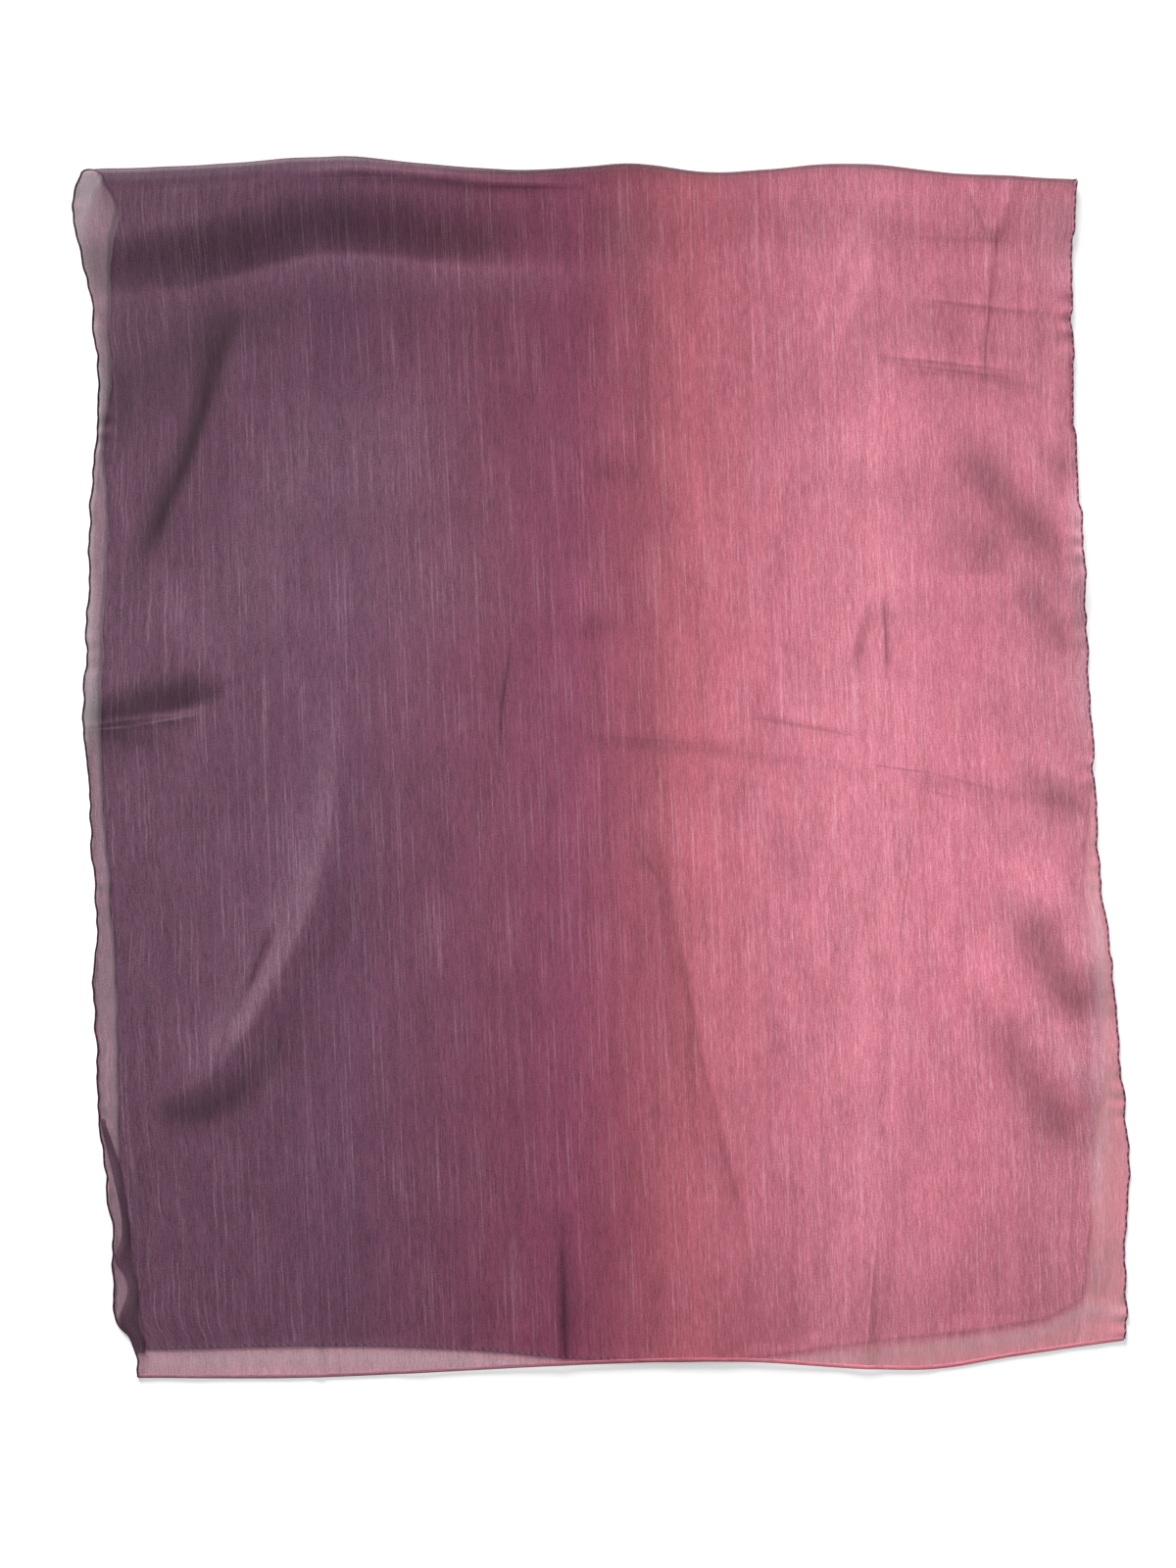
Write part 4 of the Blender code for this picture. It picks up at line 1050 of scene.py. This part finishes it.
def patches(tree, cloth, width, length):
    """Soft noise read at u / width and v / length, so that its patches have about that size."""
    stretched = add(tree, "VectorMath", {
        0: cloth, 1: (1 / width, 1 / length, 1.0)}, operation="MULTIPLY")
    return add(tree, "TexNoise", {"Vector": stretched, "Scale": 1.0, "Detail": 1.0})


# %% Dye, weave and shine put together
def dyed(tree, turns, paler):
    """The dye at its place across the shawl, mixed towards a paler one by the share `paler`, which paints in
    the light that comes back up from the white table.
    """
    dye = add(tree, "ValToRGB", {"Fac": turns["dye"]})
    ramp = dye.color_ramp
    while len(ramp.elements) < len(DYE_STOPS):
        ramp.elements.new(0.5)
    for stop, (x, code) in zip(ramp.elements, DYE_STOPS):
        stop.position = (x - DYE_LEFT) / (DYE_RIGHT - DYE_LEFT)
        stop.color = linear(code)
    pale = add(tree, "Mix", {
        0: turns["pale"], 6: linear(PALE_PLUM), 7: linear(PALE_ROSE)}, data_type="RGBA")
    return add(tree, "Mix", {0: paler, 6: dye, 7: pale}, data_type="RGBA")


def chiffon(name, with_painted_creases):
    """Colour = (dye mixed towards the painted shine) * tone * (1 + the painted shine and shade where it is
    below 0), so highlights and shade are painted into it. The tone is a start plus each pattern of the
    weave times its weight, and never under its lowest."""
    material, tree, shader = new_material(name)
    place = add(tree, "TexCoord").outputs["Object"]
    across = add(tree, "SeparateXYZ", {0: place})
    cloth = add(tree, "UVMap", uv_map="cloth")
    uv = add(tree, "SeparateXYZ", {0: cloth})
    turns = {
        name: add(tree, "MapRange", dict(enumerate((across, *turn))))
        for name, turn in TURNS.items()
    }
    alone, paler, painted_shine_shade_and_tone = (
        add(tree, "Attribute", attribute_name=mark_name).outputs["Fac"]
        for mark_name in ("alone", "paler", "painted_shine_shade_and_tone")
    )
    # painted highlights and shade of the fine creases, added to the painted shine and shade
    fine = painted_crease_lines(tree, place) if with_painted_creases else 0.0
    painted_shine_shade_and_tone = add(tree, "Math", {0: painted_shine_shade_and_tone, 1: fine}, operation="ADD")

    slubs = streaks(tree, uv, SLUB_WIDTH, SLUB_LENGTH, SLUB_SEED)
    floats = streaks(tree, uv, THREAD, FLOAT_LENGTH, FLOAT_SEED)
    bands = patches(tree, cloth, BAND, BAND_LENGTH)
    clouds = patches(tree, cloth, CLOUD, CLOUD_LENGTH)
    crepe = add(tree, "TexNoise", {"Vector": cloth, "Scale": 1 / CREPE_GRAIN, "Detail": 0.0})

    # painted highlight: the painted shine of the folds, and painted glints on the slubs and the floats
    shine = add(tree, "MapRange", {"Value": painted_shine_shade_and_tone, "To Max": PAINTED_SHINE_SHARE})
    for streak, low, high, turn in (
        (slubs, SLUB_FROM, SLUB_TO, "slub_shine"), (floats, FLOAT_FROM, FLOAT_TO, "float_shine"),
    ):
        glint = add(tree, "MapRange", {"Value": streak, "From Min": low, "From Max": high})
        shine = add(tree, "Math", {0: glint, 1: turns[turn], 2: shine}, operation="MULTIPLY_ADD")
    lit = add(tree, "Mix", {
        0: shine, 6: dyed(tree, turns, paler), 7: linear(PAINTED_SHINE_COLOUR)}, data_type="RGBA")

    grain = add(tree, "Math", {0: crepe, 1: CREPE_WEIGHT, 2: floats}, operation="MULTIPLY_ADD")
    grain = add(tree, "Math", {0: grain, 1: GRAIN_MIDDLE}, operation="SUBTRACT")
    tone = TONE_START
    for pattern, weight in (
        (bands, BAND_WEIGHT), (clouds, CLOUD_WEIGHT), (slubs, SLUB_WEIGHT), (grain, turns["grain_depth"]),
    ):
        tone = add(tree, "Math", {0: pattern, 1: weight, 2: tone}, operation="MULTIPLY_ADD")
    tone = add(tree, "Math", {0: tone, 1: TONE_LOWEST}, operation="MAXIMUM")
    # painted shade: the colour darkens where the painted shine and shade is below 0
    dull = add(tree, "MapRange", {"Value": painted_shine_shade_and_tone, "From Min": -1.0, "From Max": 0.0})
    tone = add(tree, "Math", {0: tone, 1: dull}, operation="MULTIPLY")
    woven_and_painted_light = add(tree, "VectorMath", {0: lit, 3: tone}, operation="SCALE")
    relief = add(tree, "Math", {0: bands, 1: RELIEF_WEIGHT, 2: floats}, operation="MULTIPLY_ADD")
    bump = add(tree, "Bump", {"Height": relief, "Strength": 0.5, "Distance": 0.00012})
    cover = add(tree, "MapRange", {
        "Value": alone, "To Min": COVER_DOUBLE, "To Max": COVER_ALONE})
    for node, socket in ((woven_and_painted_light, "Base Color"), (bump, "Normal"), (cover, "Alpha")):
        tree.links.new(node.outputs[0], shader.inputs[socket])
    shader.inputs["Roughness"].default_value = 0.60
    shader.inputs["IOR"].default_value = 1.5
    shader.inputs["Specular Tint"].default_value = linear(SATIN_TINT)
    print(f"{name}: {len(tree.nodes)} nodes")
    return material


chiffon_with_painted_creases = chiffon("satin_chiffon_ombre", with_painted_creases=True)
plain_chiffon = chiffon("satin_chiffon_ombre_plain", with_painted_creases=False)

# %% [markdown]
# ### Overlock thread
#
# The edges are whipped with spun polyester thread, dyed darker than the cloth. It is matt, so it gives the
# eye a thin dark outline, broken by the cloth that shows between its slanting turns, some 3 mm apart.


# %% Hem thread and stitches
TURN_PITCH = 0.0030
ROUND_PITCH = 1 / 220  # round the bead, which slants the turns
WAVE_SCALE = 0.32
GAP_FROM, GAP_TO = 0.55, 0.95  # the part of the wave where the cloth shows


def hem_thread(name, dark, pale, pale_share):
    """Dark turns in diagonal waves, read at u / round pitch and v / turn pitch, and pale cloth between."""
    material, tree, shader = new_material(name)
    cloth = add(tree, "UVMap", uv_map="cloth")
    turns = add(tree, "VectorMath", {
        0: cloth, 1: (1 / ROUND_PITCH, 1 / TURN_PITCH, 1.0)}, operation="MULTIPLY")
    wave = add(tree, "TexWave", {
        "Vector": turns, "Scale": WAVE_SCALE, "Distortion": 1.2, "Detail": 1.0}, bands_direction="DIAGONAL")
    wave = wave.outputs["Fac"]
    gap = add(tree, "MapRange", {
        "Value": wave, "From Min": GAP_FROM, "From Max": GAP_TO, "To Max": pale_share})
    colour = add(tree, "Mix", {0: gap, 6: linear(dark), 7: linear(pale)}, data_type="RGBA")
    tree.links.new(colour.outputs[2], shader.inputs["Base Color"])
    bump = add(tree, "Bump", {"Height": wave, "Strength": 0.6, "Distance": 0.0002})
    tree.links.new(bump.outputs[0], shader.inputs["Normal"])
    shader.inputs["Roughness"].default_value = 0.55
    print(f"{name}: {dark} and {pale}")
    return material


plum_thread = hem_thread("plum_overlock_thread", "#2E1626", "#6A4058", 0.5)
rose_thread = hem_thread("rose_overlock_thread", "#6E2C44", "#D07C92", 0.8)
band_thread = hem_thread("end_band_cloth", "#4A2038", "#8A5068", 0.4)
stitch_material, _, stitch_shader = new_material("pale_stitch_thread")
stitch_shader.inputs["Base Color"].default_value = linear("#D8B4C4")
stitch_shader.inputs["Roughness"].default_value = 0.5

# %% Dress the pieces
for piece, material in (
    (upper_cloth, chiffon_with_painted_creases),
    (under_cloth, plain_chiffon),
    (turned_cloth, plain_chiffon),
    (left_hem, plum_thread),
    (right_hem, rose_thread),
    (under_band, band_thread),
    (upper_band, plain_chiffon),
    (stitches, stitch_material),
):
    piece.data.materials.clear()
    piece.data.materials.append(material)
    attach(piece, "root")

# %% [markdown]
# ## Floor, light and camera
#
# The shawl lies on a plain white table with a matt top. Satin shows its folds only in raking light, so the
# key is a soft sun, low beyond the fold: slopes that face it shine and slopes that turn away go dark. A
# wide spot overhead gives the middle of the cloth its sheen, and an even sky fills the rest. Together they
# come to about pi watts for each square metre in the middle, at which a colour renders as it is written.
# The table adds a little white where the camera sees it, so it stays white and still takes a shadow.

# %% Floor
FLOOR_SIDE = 8.0
FLOOR_DROP = 0.0002  # below the cloth, so that the two never share a plane
FLOOR_GLOW = 0.42  # seen past the cloth only, so that the glow doesn't shine through it
corners = np.array([(-1, 1, 0), (-1, -1, 0), (1, -1, 0), (1, 1, 0)]) * FLOOR_SIDE / 2
floor = as_mesh("table_top", corners - (0, 0, FLOOR_DROP), np.array([[0, 1, 2, 3]]))
floor_material, floor_tree, floor_shader = new_material("white_table")
floor_tree.nodes.remove(floor_shader)
seen = add(floor_tree, "LightPath")
direct = seen.outputs["Is Camera Ray"]
for ray in ("Is Glossy Ray", "Is Transmission Ray"):
    direct = add(floor_tree, "Math", {0: direct, 1: seen.outputs[ray]}, operation="MAXIMUM")
direct = add(floor_tree, "Math", {
    0: direct, 1: seen.outputs["Transparent Depth"]}, operation="SUBTRACT", use_clamp=True)
strength = add(floor_tree, "Math", {0: direct, 1: FLOOR_GLOW}, operation="MULTIPLY")
glow = add(floor_tree, "Emission", {"Color": (1, 1, 1, 1), "Strength": strength})
chalk = add(floor_tree, "BsdfDiffuse", {"Color": (0.9, 0.9, 0.9, 1)})
both = add(floor_tree, "AddShader", {0: glow, 1: chalk})
floor_tree.links.new(both.outputs[0], floor_tree.nodes["Material Output"].inputs["Surface"])
floor.data.materials.append(floor_material)

# %% Sky
SKY_STRENGTH = 0.12
world = bpy.data.worlds.new("studio_sky")
bpy.context.scene.world = world
world.use_nodes = True
sky_tree = world.node_tree
sky_path = add(sky_tree, "LightPath")
sky_strength = add(sky_tree, "MapRange", {
    "Value": sky_path.outputs["Is Camera Ray"], "To Min": SKY_STRENGTH, "To Max": 1.0})
background = sky_tree.nodes["Background"]
background.inputs["Color"].default_value = (1, 1, 1, 1)
sky_tree.links.new(sky_strength.outputs[0], background.inputs["Strength"])

# %% Lamps
KEY_HEIGHT = np.radians(20)
KEY_FROM = np.radians(106)
KEY_DISTANCE = 3  # a sun's light is the same at any
KEY_WIDTH = np.radians(24)
KEY_POWER = 5.5
TOP_POWER = 63.0
TOP_HEIGHT = 2.3
TOP_RADIUS = 0.35
TOP_REACH = (0.80, 0.45)  # where its pool of light ends, across and along the cloth


def lamp(name, kind, power, place):
    """A lamp that points from its place to the middle of the cloth."""
    data = bpy.data.lights.new(name, kind)
    data.energy = power
    holder = bpy.data.objects.new(name, data)
    bpy.context.scene.collection.objects.link(holder)
    holder.location = place
    holder.rotation_euler = (-holder.location).to_track_quat("-Z", "Y").to_euler()
    print(f"{name}: {kind.lower()}, {power} W")
    return holder


key = lamp("window_light", "SUN", KEY_POWER, KEY_DISTANCE * np.array((
    np.cos(KEY_HEIGHT) * np.cos(KEY_FROM),
    np.cos(KEY_HEIGHT) * np.sin(KEY_FROM),
    np.sin(KEY_HEIGHT),
)))
key.data.angle = KEY_WIDTH
top = lamp("overhead_light", "SPOT", TOP_POWER, (0.0, 0.0, TOP_HEIGHT))
top.data.shadow_soft_size = TOP_RADIUS
top.data.spot_size = 2 * np.arctan(TOP_REACH[1] / TOP_HEIGHT)
top.data.spot_blend = 1.0
top.scale.x = TOP_REACH[0] / TOP_REACH[1]

# %% Camera, straight above
LENS = 50.0
SENSOR = 36.0
FRAME_HEIGHT = 1.168
AIM = (-0.0107, -0.0128)
camera_data = bpy.data.cameras.new("camera")
camera_data.lens = LENS
camera_data.sensor_width = SENSOR
camera = bpy.data.objects.new("camera", camera_data)
bpy.context.scene.collection.objects.link(camera)
camera.location = (*AIM, FRAME_HEIGHT * LENS / SENSOR)
print(f"camera {camera.location.z:.3f} m above the table")
bpy.context.scene.camera = camera
bpy.context.scene.view_settings.view_transform = "Standard"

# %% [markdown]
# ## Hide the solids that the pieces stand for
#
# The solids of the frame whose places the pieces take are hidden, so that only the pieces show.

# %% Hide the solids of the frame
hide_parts("upper_layer", "fold_bight")
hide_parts("under_layer")
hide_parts("turned_edge")
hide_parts("left_rolled_hem")
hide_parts("right_rolled_hem")
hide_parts("under_end_hem")
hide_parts("upper_end_hem")
